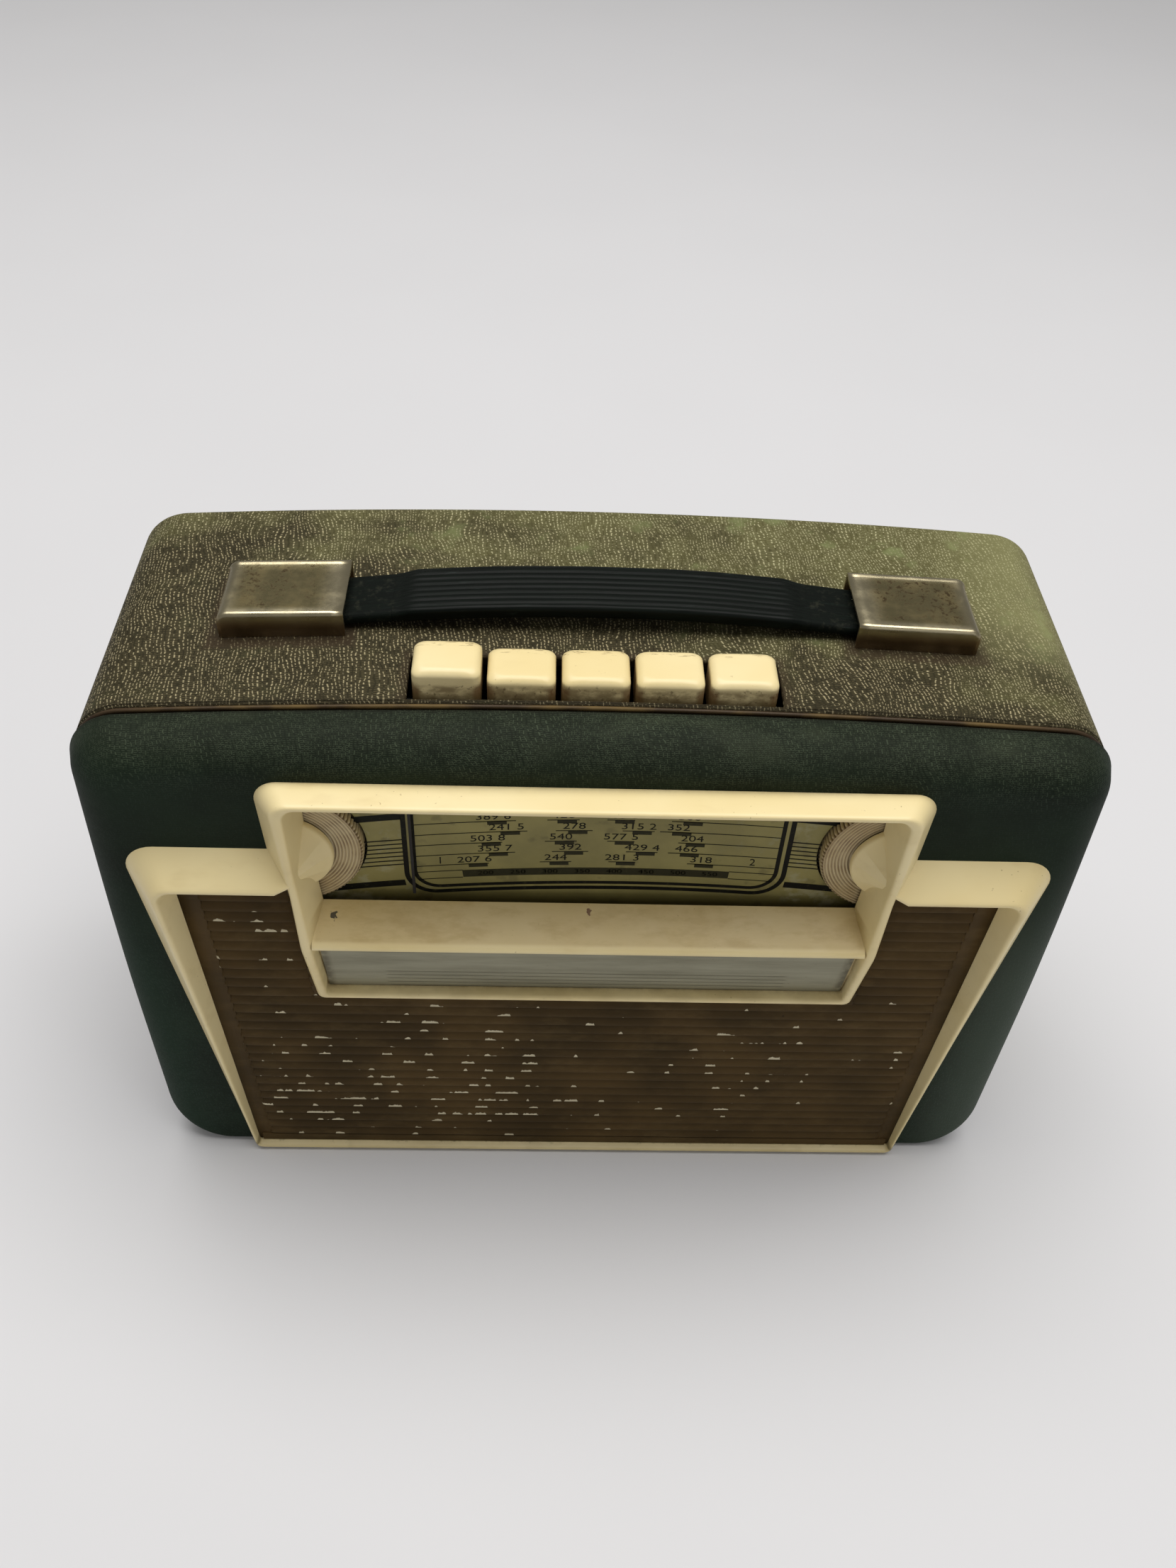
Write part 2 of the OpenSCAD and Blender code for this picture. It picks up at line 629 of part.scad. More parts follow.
module thumbwheel(x) {
  difference() {
    translate([x, wheel_y + wheel_t, wheel_z]) rotate([90, 0, 0])
      linear_extrude(wheel_t) polygon(toothed(wheel_r));
    for (r = [13.6, 15.2, 16.8, 18.4, 20]) difference() {
      rod_y(x, wheel_z, r + 0.5, wheel_y - 1, wheel_y + 0.5);
      rod_y(x, wheel_z, r - 0.5, wheel_y - 2, wheel_y + 1);
    }
    rod_y(x, wheel_z, 12.2, wheel_y - 1, wheel_y + 0.8);
    difference() {
      rod_y(x, wheel_z, 19, wheel_y + 2.4, wheel_y + wheel_t + 1);
      rod_y(x, wheel_z, 6, wheel_y, wheel_y + wheel_t + 2);
    }
  }
}

shaft_end = chassis_back + 8;
pot_tabs = [-6, 0, 6];
pot_tab_z = wheel_z - 17;
module volume_knob() {
  color("#d9c7a2") union() {
    thumbwheel(-wheel_x);
    rod_y(-wheel_x, wheel_z, shaft_r, wheel_y + 2, shaft_end);
  }
}

module tuning_knob() {
  color("#d9c7a2") union() {
    thumbwheel(wheel_x);
    rod_y(wheel_x, wheel_z, shaft_r, wheel_y + 2, shaft_end);
    rod_y(wheel_x, wheel_z, cord_shaft_r - cord_r - cord_gap, cord_y - 2.4, cord_y + 2.4);
    for (y = [cord_y - 2.5, cord_y + 1.7]) rod_y(wheel_x, wheel_z, cord_shaft_r + 1.2, y, y + 0.8);
  }
}

// The sleeve a shaft turns in, with its nut in front of the chassis
module shaft_bush(x, back) {
  difference() {
    union() {
      rod_y(x, wheel_z, 4.9, chassis_y - 2, chassis_back + 1);
      children();
    }
    rod_y(x, wheel_z, shaft_r + running, chassis_y - 3, back);
  }
  difference() {
    rod_y(x, wheel_z, 7.2, chassis_y - 1.8, chassis_y, 6);
    rod_y(x, wheel_z, 4.95, chassis_y - 3, chassis_y + 1);
  }
}

module tuning_bush() {
  color("#b08d4a") shaft_bush(wheel_x, shaft_end + 1)
    rod_y(wheel_x, wheel_z, 7, chassis_back, chassis_back + 3);
}

module volume_pot() {
  color("#8c8c86") shaft_bush(-wheel_x, shaft_end + 0.6) union() {
    rod_y(-wheel_x, wheel_z, 12, chassis_back, shaft_end + 3);
    for (dx = pot_tabs) block(-wheel_x + dx - 1, -wheel_x + dx + 1, shaft_end, shaft_end + 0.8,
      pot_tab_z, wheel_z - 9.5);
  }
}

// Chassis

chassis_screw_z = [116, 158];
dial_posts = [[70, 124.5], [46, 172]];
module chassis() {
  color("#9aa09a") union() {
    difference() {
      block(-130, 130, chassis_y, chassis_back, 112, plate_top + 0.6);
      for (x = [-wheel_x, wheel_x]) rod_y(x, wheel_z, 4.95, chassis_y - 1, chassis_back + 1);
      rod_y(drum_x, drum_z, 4.2, chassis_y - 1, chassis_back + 1);
      both_sides() for (z = chassis_screw_z)
        rod_y(batten_x + 5, z, 1.7, chassis_y - 1, chassis_back + 1);
      both_sides() block(112, 131, chassis_y - 1, chassis_back + 1, 163, 190);
    }
    block(-108, 108, chassis_y, chassis_back + 16, 110.8, 112);
    both_sides() {
      rod_y(pulley_x, pulley_z, 1.5, cord_y - 2.2, chassis_y, 32);
      for (p = dial_posts) rod_y(p[0], p[1], 1.5, plate_y + 1, chassis_y, 32);
    }
  }
}

module chassis_screws() {
  color("#8b8676") both_sides() {
    for (z = chassis_screw_z) {
      rod_y(batten_x + 5, z, 1.5, chassis_y, chassis_back + 9, 32);
      rod_y(batten_x + 5, z, 3, chassis_y - 1.5, chassis_y, 32);
    }
    for (p = baffle_screws) {
      rod_y(p[0], p[1], 1.8, inner_face_y - 2.4, baffle_y + baffle_t, 32);
      rod_y(p[0], p[1], 3.6, baffle_y + baffle_t, baffle_y + baffle_t + 1.6, 32);
    }
  }
}

// Keys

bank_top = 174;
bank_low = 157;
bank_t = 1.2;
stem_t = 1.6;
key_under = key_top - 12;
function key_x(i) = -1 + (i - 3) * key_pitch;
function key_rise(i) = i == 1 ? first_key_rise : 0;

module key_bank() {
  y0 = chassis_back;
  y1 = chassis_back + 15;
  color("#8f8a78") difference() {
    block(slot_x0 - 2, slot_x1 + 2, y0, y1, bank_low, bank_top);
    block(slot_x0 - 3, slot_x1 + 3, y0 + bank_t, y1 - bank_t, bank_low + bank_t, bank_top - bank_t);
    for (i = [1:5]) block(key_x(i) - 3.3, key_x(i) + 3.3, key_y - 1.1, key_y + 1.1, bank_top - 3,
      bank_top + 1);
  }
}

// A key is a pillow: three rounded outlines drawn out across each other
module rounded(w, h, r) {
  for (x = [-1, 1]) for (y = [-1, 1])
    translate([x * (w / 2 - r), y * (h / 2 - r)]) circle(r = r, $fn = 32);
  square([w - 2 * r, h], center = true);
  square([w, h - 2 * r], center = true);
}

module button(i) {
  x = key_x(i);
  top = key_top + key_rise(i);
  low = key_under + key_rise(i);
  color("#efe3b4") union() {
    translate([x, key_y, 0]) intersection() {
      translate([0, 0, low]) linear_extrude(top - low) rounded(key_w, key_d, 1.6);
      translate([0, key_d, top - 7]) rotate([90, 0, 0])
        linear_extrude(2 * key_d) union() {
          rounded(key_w, 14, 2.2);
          translate([0, -5]) square([key_w, 12], center = true);
        }
      translate([-key_w, 0, top - 7]) rotate([90, 0, 90])
        linear_extrude(2 * key_w) union() {
          rounded(key_d, 14, 3);
          translate([0, -5]) square([key_d, 12], center = true);
        }
    }
    block(x - 3, x + 3, key_y - stem_t / 2, key_y + stem_t / 2, low - 19, low + 0.1);
  }
}

module button_1() { button(1); }
module button_2() { button(2); }
module button_3() { button(3); }
module button_4() { button(4); }
module button_5() { button(5); }

module key_spring(i) {
  color("#b9b5a4") difference() {
    rod_z(key_x(i), key_y, 4.2, bank_top, key_under + key_rise(i));
    rod_z(key_x(i), key_y, 3.5, bank_top - 1, key_top);
  }
}

module key_spring_1() { key_spring(1); }
module key_spring_2() { key_spring(2); }
module key_spring_3() { key_spring(3); }
module key_spring_4() { key_spring(4); }
module key_spring_5() { key_spring(5); }

// Handle

cap_t = 1;
cap_end = cap_in + cap_l;

cap_roll = 7;
cap_tilt = 2.3;

// A cap from the front before it is tilted: it rolls down at the outer end
module cap_profile(d) {
  intersection() {
    translate([cap_in - 1, 180]) square([cap_l + 1 - d, cap_top - 180 - d]);
    union() {
      translate([cap_in - 2, 170]) square([cap_l + 2 - cap_roll, cap_top - 170]);
      translate([cap_end - cap_roll, cap_top - cap_roll]) circle(r = cap_roll - d, $fn = round_fn);
      translate([cap_in - 2, 170]) square([cap_l + 2, cap_top - cap_roll - 170]);
    }
  }
}

module cap_shape(d) {
  intersection() {
    translate([0, handle_y + cap_w / 2 - d, 0]) rotate([90, 0, 0])
      linear_extrude(cap_w - 2 * d) cap_profile(d);
    translate([cap_in - 3, handle_y, cap_top - d - 15]) rotate([90, 0, 90])
      linear_extrude(cap_l + 6) rounded(cap_w - 2 * d, 30, 2.2 - d);
  }
}

// All that lies under the crowned top, for what stands on it or hangs from it
module under_top(d) {
  slab_y(-case_d, case_d, case_outline(body_hw, case_h, d, 0));
}

module handle_cap() {
  difference() {
    union() {
      translate([cap_in, 0, cap_top]) rotate([0, cap_tilt, 0]) translate([-cap_in, 0, -cap_top])
        difference() {
          cap_shape(0);
          translate([-cap_t, 0, 0]) cap_shape(cap_t);
          block(0, cap_in, -cap_w, 2 * cap_w, 170, 200);
        }
      for (s = [-1, 1]) rod_z(cap_screw_x, handle_y + s * cap_screw_dy, 2.6, 184, cap_top - 1.6);
    }
    for (s = [-1, 1])
      rod_z(cap_screw_x, handle_y + s * cap_screw_dy, 1.5 + screw_gap, 180, 192);
  }
}

module on_crown() {
  color("#8d8574") difference() {
    translate([handle_x, 0, 0]) children();
    under_top(-0.02);
  }
}

module handle_cap_right() { on_crown() handle_cap(); }
module handle_cap_left() { on_crown() mirror([1, 0, 0]) handle_cap(); }

module cap_screws() {
  seat = crown_z(cap_screw_x + handle_x + 3, body_hw, case_h) - wall - 0.05;
  color("#8b8676") both_ends() for (s = [-1, 1]) {
    rod_z(cap_screw_x, handle_y + s * cap_screw_dy, 1.5, seat, 191.5);
    rod_z(cap_screw_x, handle_y + s * cap_screw_dy, 3, seat - 1.8, seat);
  }
}

strap_rise = 4.6;
strap_r = (cap_in * cap_in + strap_rise * strap_rise) / (2 * strap_rise);
strap_c = strap_low - strap_r;
rib_count = 7;

// Cross-section of the grip: a soft-edged pad with ribs along its top
module grip_section(t) {
  translate([t / 2, 0]) rotate(90) rounded(strap_w, t, 1.6);
  for (i = [-(rib_count - 1) / 2:(rib_count - 1) / 2])
    translate([t - 0.35, i * 2.3]) circle(r = 0.8, $fn = 24);
}

// The strap follows an arch; a stretch of it is turned about the arch's centre
module strap_arch(x0, x1) {
  a0 = asin(x0 / strap_r);
  a1 = asin(x1 / strap_r);
  translate([0, handle_y, strap_c]) rotate([90, 0, 0]) rotate([0, 0, 90 - a1])
    rotate_extrude(angle = a1 - a0, $fn = 720) translate([strap_r, 0]) children();
}

module handle_strap() {
  color("#1b2426") translate([handle_x, 0, 0]) strap_arch(-grip_x, grip_x) grip_section(strap_t);
}

tongue_low = case_h - 0.3;
module handle_neck() {
  strap_arch(grip_x + 0.05, cap_in + 1) translate([1.6, 0]) rotate(90) rounded(strap_w - 1, 3.2, 1);
  block(cap_in + 0.5, cap_in + 15, handle_y - strap_w / 2 + 0.5, handle_y + strap_w / 2 - 0.5,
    tongue_low, tongue_low + 3.2);
}

module handle_neck_right() { color("#232a29") translate([handle_x, 0, 0]) handle_neck(); }
module handle_neck_left() {
  color("#232a29") translate([handle_x, 0, 0]) mirror([1, 0, 0]) handle_neck();
}

// Loudspeaker, built about its own axis and turned to face the front

speaker_y = baffle_y + baffle_t;
speaker_holes = [for (a = [45:90:315]) [42.5 * cos(a), speaker_z + 42.5 * sin(a)]];

module facing_front() {
  translate([0, speaker_y, speaker_z]) rotate([-90, 0, 0]) children();
}

module speaker_basket() {
  color("#5a5f5c") difference() {
    facing_front() rotate_extrude($fn = 96) polygon([[38, 0], [45, 0], [45, 1.2], [40.2, 1.2],
      [22, 20.5], [10, 20.5], [10, 19.3], [21.4, 19.3], [38, 1.6]]);
    for (a = [0:45:315]) translate([0, speaker_y + 10, speaker_z]) rotate([0, a, 0])
      translate([30.5, 0, 0]) cube([12, 9, 13], center = true);
    for (p = speaker_holes) rod_y(p[0], p[1], 1.5, speaker_y - 1, speaker_y + 2, 32);
  }
  color("#8a5a2b") block(-8, 8, speaker_y + 1.2, speaker_y + 6, speaker_z + 40.6, speaker_z + 43.6);
}

module speaker_cone() {
  color("#2b2620") facing_front() rotate_extrude($fn = 96) polygon([[0, 11], [8, 12], [9, 14],
    [35.5, 0.8], [37.6, 0.3], [37.6, 0.9], [35.6, 1.5], [9.3, 15.6], [9.3, 18.8], [8.7, 18.8],
    [8.7, 14.6], [7.6, 12.6], [0, 11.6]]);
}

module speaker_magnet() {
  color("#77787a") facing_front() difference() {
    union() {
      translate([0, 0, 20.5]) cylinder(r = 21, h = 2.5, $fn = 64);
      translate([0, 0, 23]) cylinder(r = 17, h = 17, $fn = 64);
      translate([0, 0, 40]) cylinder(r = 19, h = 2.5, $fn = 64);
      translate([0, 0, 17]) cylinder(r = 8, h = 6, $fn = 64);
    }
    translate([0, 0, 42]) cylinder(r = 3, h = 2, $fn = 32);
  }
}

module speaker_screws() {
  color("#a09a86") for (p = speaker_holes) {
    rod_y(p[0], p[1], 1.2, baffle_y + 0.6, speaker_y + 1.2, 32);
    rod_y(p[0], p[1], 2.2, speaker_y + 1.2, speaker_y + 2.6, 32);
  }
}

// Circuit board and what stands on it

board_y = cap_back + 6;
board_t = 1.6;
board_back = board_y + board_t;
board_posts = [[-54, 118], [54, 118], [-54, 150], [54, 150]];

module circuit_board() {
  color("#8a5a2b") difference() {
    block(-62, 62, board_y, board_back, 82, 156);
    for (p = board_posts) rod_y(p[0], p[1], 1.5 + screw_gap, board_y - 1, board_back + 1, 32);
  }
}

module board_pillars() {
  color("#b9b5a4") for (p = board_posts) {
    rod_y(p[0], p[1], 2.8, chassis_back, board_y, 32);
    rod_y(p[0], p[1], 1.5, board_y, board_back, 32);
    rod_y(p[0], p[1], 2.8, board_back, board_back + 1.4, 6);
  }
}

module transistors() {
  color("#2a2c2e") for (p = [[-44, 94], [-28, 96], [-12, 94], [12, 128], [28, 94], [46, 94]]) {
    rod_y(p[0], p[1], 2.9, board_back + 2, board_back + 11, 32);
    for (dx = [-1.4, 0, 1.4]) rod_y(p[0] + dx, p[1], 0.3, board_back, board_back + 2, 16);
  }
}

module if_cans() {
  color("#b6bab8") for (p = [[-40, 132], [-20, 132], [0, 112], [30, 112]]) difference() {
    block(p[0] - 5, p[0] + 5, board_back, board_back + 17, p[1] - 5, p[1] + 5);
    rod_y(p[0], p[1], 2.2, board_back + 14, board_back + 18, 32);
  }
}

module electrolytics() {
  color("#7f8b93") for (p = [[-20, 108, 4], [44, 134, 5], [-44, 110, 4]])
    rod_y(p[0], p[1], p[2], board_back, board_back + 18, 48);
}

module transformer(x, z) {
  block(x - 11, x + 11, board_back, board_back + 8, z - 9, z + 9);
  block(x - 6, x + 6, board_back + 8, board_back + 14, z - 7, z + 7);
}

module transformers() {
  color("#5b5247") {
    transformer(20, 146);
    transformer(-6, 146);
  }
}

// Inside aerial

ferrite_y = 30;
ferrite_z = 170;
clip_x = 84;

module ferrite_rod() {
  color("#33302d") translate([-96, ferrite_y, ferrite_z]) rotate([0, 90, 0])
    cylinder(r = 5, h = 192, $fn = 48);
}

module aerial_coils() {
  color("#b98a4a") for (span = [[-66, 30], [-24, 12], [42, 26]]) difference() {
    translate([span[0], ferrite_y, ferrite_z]) rotate([0, 90, 0])
      cylinder(r = 6.6, h = span[1], $fn = 48);
    translate([span[0] - 1, ferrite_y, ferrite_z]) rotate([0, 90, 0])
      cylinder(r = 5.05, h = span[1] + 2, $fn = 48);
  }
}

module ferrite_clips() {
  color("#cdbf95") intersection() {
    both_sides() difference() {
      block(clip_x - 3, clip_x + 3, ferrite_y - 8, ferrite_y + 8, ferrite_z - 8, case_h);
      translate([clip_x - 4, ferrite_y, ferrite_z]) rotate([0, 90, 0])
        cylinder(r = 5.05, h = 8, $fn = 48);
    }
    under_top(wall + 0.04);
  }
}

// Batteries stand in a folded tray on the floor of the case, one each side

battery = [62, 22, 64];
battery_x = 59.5;
battery_y = ledge_y - 1.5 - battery[1];
tray_t = 0.8;

module batteries() {
  color("#6a6f5a") both_sides()
    translate([battery_x, battery_y, wall + tray_t]) cube(battery);
}

module battery_holder() {
  color("#8f948f") both_sides() {
    block(battery_x - tray_t, battery_x + battery[0] - 8, battery_y - tray_t,
      battery_y + battery[1] + tray_t, wall, wall + tray_t);
    block(battery_x - tray_t, battery_x, battery_y - tray_t, battery_y + battery[1] + tray_t,
      wall, 40);
    block(battery_x - tray_t, battery_x + battery[0] - 8, battery_y - tray_t, battery_y, wall, 30);
  }
}

module battery_contacts() {
  top = wall + tray_t + battery[2];
  color("#c2a04e") both_sides() for (dx = [10, 44]) {
    block(battery_x + dx - 4, battery_x + dx + 4, battery_y + 8, battery_y + 14, top, top + 0.5);
    block(battery_x + dx - 4, battery_x + dx + 4, battery_y + 13.5, battery_y + 14, top + 0.4,
      top + 8);
  }
}

// Leads: each is a smooth curve through the places it is led past

function spline_point(a, b, c, d, t) = 0.5 * (2 * b + (c - a) * t
  + (2 * a - 5 * b + 4 * c - d) * t * t + (3 * b - a - 3 * c + d) * t * t * t);
function smooth(p, steps) =
  let (n = len(p))
  concat([for (i = [0:n - 2], k = [0:steps - 1])
    spline_point(p[max(i - 1, 0)], p[i], p[i + 1], p[min(i + 2, n - 1)], k / steps)], [p[n - 1]]);

lead_r = 0.7;
module lead(points) {
  strand(smooth(points, 4), lead_r);
}

module wiring() {
  front = board_y - 0.1;
  back = board_back + 0.1;
  tab_y = battery_y + 13.4;
  tab_z = wall + tray_t + battery[2] + 6;
  color("#6e2f28") {
    for (x = [-4, 4]) lead([[x, speaker_y + 6.1, speaker_z + 42], [x, speaker_y + 14, speaker_z + 43],
      [1.3 * x, board_y - 14, speaker_z + 38], [1.5 * x, front, speaker_z + 37]]);
    both_sides() for (dx = [10, 44]) lead([[battery_x + dx, tab_y, tab_z],
      [battery_x + dx - 3, tab_y - 5, tab_z + 3], [battery_x - 4 + dx / 6, board_back + 9, tab_z + 9],
      [58 - (54 - dx) / 4, back, 88 + dx / 10]]);
    for (dx = pot_tabs) lead([[-wheel_x + dx, shaft_end + 0.4, pot_tab_z - 0.8],
      [-wheel_x + dx + 1, shaft_end + 5, pot_tab_z - 9], [-70 + dx, -2, pot_tab_z - 10],
      [-58 + dx / 2, front, 130 + dx / 2]]);
    for (x = [-44, -30, 30, 40]) lead([[x, chassis_back + 15.1, 162],
      [x, chassis_back + 22, 162.5], [x, board_y - 6, 156], [x, front, 146]]);
    for (x = [-50, 46]) lead([[x, ferrite_y - 3, ferrite_z - 6.7], [x, ferrite_y - 7, ferrite_z - 12],
      [0.96 * x, board_back + 5, 146], [0.96 * x, back, 143]]);
  }
}

case_body();
front_shell();
seam_bead();
back_cover();
back_screws();
corner_blocks();
front_moulding();
speaker_grille();
grille_cloth();
baffle_board();
nameplate();
dial_plate();
tuning_pointer();
pointer_rail();
drive_cord();
pulley_left();
pulley_right();
cord_drum();
tuning_rotor();
tuning_capacitor();
tuning_knob();
tuning_bush();
volume_knob();
volume_pot();
chassis();
chassis_screws();
key_bank();
button_1();
button_2();
button_3();
button_4();
button_5();
key_spring_1();
key_spring_2();
key_spring_3();
key_spring_4();
key_spring_5();
handle_cap_left();
handle_cap_right();
handle_strap();
handle_neck_left();
handle_neck_right();
cap_screws();
speaker_basket();
speaker_cone();
speaker_magnet();
speaker_screws();
circuit_board();
board_pillars();
transistors();
if_cans();
electrolytics();
transformers();
ferrite_rod();
aerial_coils();
ferrite_clips();
batteries();
battery_holder();
battery_contacts();
wiring();
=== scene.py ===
from math import acos, atan2, copysign, cos, degrees, dist, pi, radians, sin, sqrt
import bmesh
import bpy
from mathutils import Matrix, Vector
from mathutils.geometry import tessellate_polygon
from mathutils.noise import noise as lumps


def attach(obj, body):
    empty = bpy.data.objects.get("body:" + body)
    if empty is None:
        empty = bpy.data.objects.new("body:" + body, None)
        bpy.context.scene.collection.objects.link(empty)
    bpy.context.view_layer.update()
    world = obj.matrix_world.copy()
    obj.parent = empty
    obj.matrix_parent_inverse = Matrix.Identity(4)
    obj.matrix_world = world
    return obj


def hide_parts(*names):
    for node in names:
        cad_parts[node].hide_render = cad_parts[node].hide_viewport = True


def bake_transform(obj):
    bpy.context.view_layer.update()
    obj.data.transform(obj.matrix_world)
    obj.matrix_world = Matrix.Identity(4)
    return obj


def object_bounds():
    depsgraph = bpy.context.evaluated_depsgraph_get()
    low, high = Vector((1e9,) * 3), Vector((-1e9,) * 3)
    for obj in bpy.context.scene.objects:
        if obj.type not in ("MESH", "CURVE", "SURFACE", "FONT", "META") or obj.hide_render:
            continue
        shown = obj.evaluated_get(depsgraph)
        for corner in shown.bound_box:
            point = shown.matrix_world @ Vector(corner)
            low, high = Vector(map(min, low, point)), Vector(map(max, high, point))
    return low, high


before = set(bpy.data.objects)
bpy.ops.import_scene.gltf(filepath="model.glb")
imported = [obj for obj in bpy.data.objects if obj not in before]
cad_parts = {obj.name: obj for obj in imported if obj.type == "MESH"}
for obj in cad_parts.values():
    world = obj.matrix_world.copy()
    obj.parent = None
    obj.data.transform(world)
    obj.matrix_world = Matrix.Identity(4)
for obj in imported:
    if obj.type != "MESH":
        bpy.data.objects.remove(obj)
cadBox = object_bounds()
scene = bpy.context.scene
mm = 0.001


class Settings(dict):  # a dictionary whose entries are also read as piece.size
    __getattr__ = dict.__getitem__


def addObject(name, data):
    obj = bpy.data.objects.new(name, data)
    scene.collection.objects.link(obj)
    return obj


# the camera stands where the photograph was taken from
lens = Settings(yaw=-0.05197, pitch=0.78977, roll=0.05655, focal=1900 / 2212 * 36, x=-15.488,
    ahead=232.523, z=422.328)
edgeY = cadBox[0][1] / mm  # front edge of the moulding
faceY = edgeY + 9  # green face
camData = bpy.data.cameras.new("camera")
camData.lens = lens.focal
camData.sensor_width = 36
camData.clip_start = 0.01
camera = addObject("camera", camData)
camera.matrix_world = (
    Matrix.Translation((lens.x * mm, (edgeY - lens.ahead) * mm, lens.z * mm))
    @ Matrix.Rotation(lens.yaw, 4, "Z")
    @ Matrix.Rotation(pi / 2 - lens.pitch, 4, "X")
    @ Matrix.Rotation(lens.roll, 4, "Z"))
scene.camera = camera

# sizes shared by several pieces, in millimetres, as in the part's source
case = Settings(width=277, height=189.5, depth=109, crown=4.2, topR=16, footR=21, wall=4, rearR=5,
    rearRim=12, shellDepth=15, shellOver=0.4, shellBow=4.5, shellRise=0.5, faceR=10, faceFootR=2.5,
    groove=1.7, bowZ=65)
backY = faceY + case.depth
seamY = faceY + case.shellDepth
bodyY = seamY + case.groove + 1.4
innerFaceY = faceY + case.wall
plateY = faceY + 7
wheelY = innerFaceY + 0.4
cordY = plateY + 8
shaftEnd = plateY + 13 + 1.2 + 8
keyY = faceY + 28.8
handleY = faceY + 57.2
handleX = 1.0
bodyHw = case.width / 2
shellHw = bodyHw + case.shellOver


# mesh helpers: everything is built in millimetres in the frame's own axes
def addMesh(name, points, faces, sharp, grain=None):  # edges above sharp degrees stay crisp
    mesh = bpy.data.meshes.new(name)
    mesh.from_pydata([(p[0] * mm, p[1] * mm, p[2] * mm) for p in points], [], faces)
    if grain:
        layer = mesh.attributes.new("grain", "FLOAT_VECTOR", "POINT")
        layer.data.foreach_set("vector", [c for g in grain for c in g])
    mesh.shade_smooth()
    mesh.set_sharp_from_angle(angle=radians(sharp))
    mesh.update()
    return addObject(name, mesh)


def weld(obj, gap=0.01):
    bm = bmesh.new()
    bm.from_mesh(obj.data)
    bmesh.ops.remove_doubles(bm, verts=bm.verts, dist=gap * mm)
    bmesh.ops.dissolve_degenerate(bm, edges=bm.edges, dist=0.001 * mm)
    bmesh.ops.recalc_face_normals(bm, faces=bm.faces)
    bm.to_mesh(obj.data)
    bm.free()
    obj.data.update()
    return obj


def join(parts):
    points, faces = [], []
    for p, f in parts:
        base = len(points)
        points += p
        faces += [tuple(i + base for i in face) for face in f]
    return points, faces


def loft(rings, around=True, along=False, caps=False):  # skin over rings of equal count
    count = len(rings[0])
    points = [p for ring in rings for p in ring]
    faces = []
    for i in range(len(rings) if along else len(rings) - 1):
        k = (i + 1) % len(rings) * count
        for j in range(count if around else count - 1):
            n = (j + 1) % count
            faces.append((i * count + j, i * count + n, k + n, k + j))
    if caps:
        faces.append(tuple(reversed(range(count))))
        faces.append(tuple((len(rings) - 1) * count + j for j in range(count)))
    return points, faces


def arc(cx, cz, r, a0, a1, n):
    turns = [radians(a) for a in evenly(a0, a1, n)]
    return [(cx + r * cos(a), cz + r * sin(a)) for a in turns]


def quarter(n, back=False):  # steps of a quarter turn: how far in and how far up
    steps = [(1 - cos(pi / 2 * k / n), sin(pi / 2 * k / n)) for k in range(n + 1)]
    return steps[::-1] if back else steps


def evenly(a, b, n):
    return [a + (b - a) * k / n for k in range(n + 1)]


def ease(t):  # held between 0 and 1, with soft ends
    t = min(1, max(0, t))
    return t * t * (3 - 2 * t)


def mirrored(right):
    return right + [(-p[0],) + tuple(p[1:]) for p in reversed(right)]


def between(a, b, t):
    return tuple(u + (v - u) * t for u, v in zip(a, b))


def soften(points, radii, steps=4):  # rounds each corner of a closed path
    out = []
    for i, p in enumerate(points):
        a, b, r = points[i - 1], points[(i + 1) % len(points)], radii[i]
        if r <= 0:
            out.append(tuple(p))
            continue
        start = between(p, a, min(r / max(dist(p, a), 1e-6), 0.46))
        stop = between(p, b, min(r / max(dist(p, b), 1e-6), 0.46))
        for t in evenly(0, 1, steps):
            out.append(between(between(start, p, t), between(p, stop, t), t))
    return out


def plate(loops, y):  # flat panel with holes, at one depth
    flat = [[Vector((p[0], p[1], 0)) for p in loop] for loop in loops]
    faces = [tuple(t) for t in tessellate_polygon(flat)]
    return [(p[0], y, p[1]) for loop in loops for p in loop], faces


def panel(loops, y0, y1):  # the same with thickness
    walls = [loft([[(p[0], y, p[1]) for p in loop] for y in (y0, y1)]) for loop in loops]
    return join([plate(loops, y0), plate(loops, y1)] + walls)


def barX(x0, x1, profile, gap=200):  # profile of (y, z) drawn along x
    rings = [[(x, *p) for p in profile] for x in evenly(x0, x1, max(1, round((x1 - x0) / gap)))]
    return loft(rings, caps=True)


def crownZ(x):  # height of the arched top
    reach = bodyHw - case.topR
    big = (reach ** 2 + case.crown ** 2) / (2 * case.crown)
    return case.height - big + sqrt(big ** 2 - x * x)


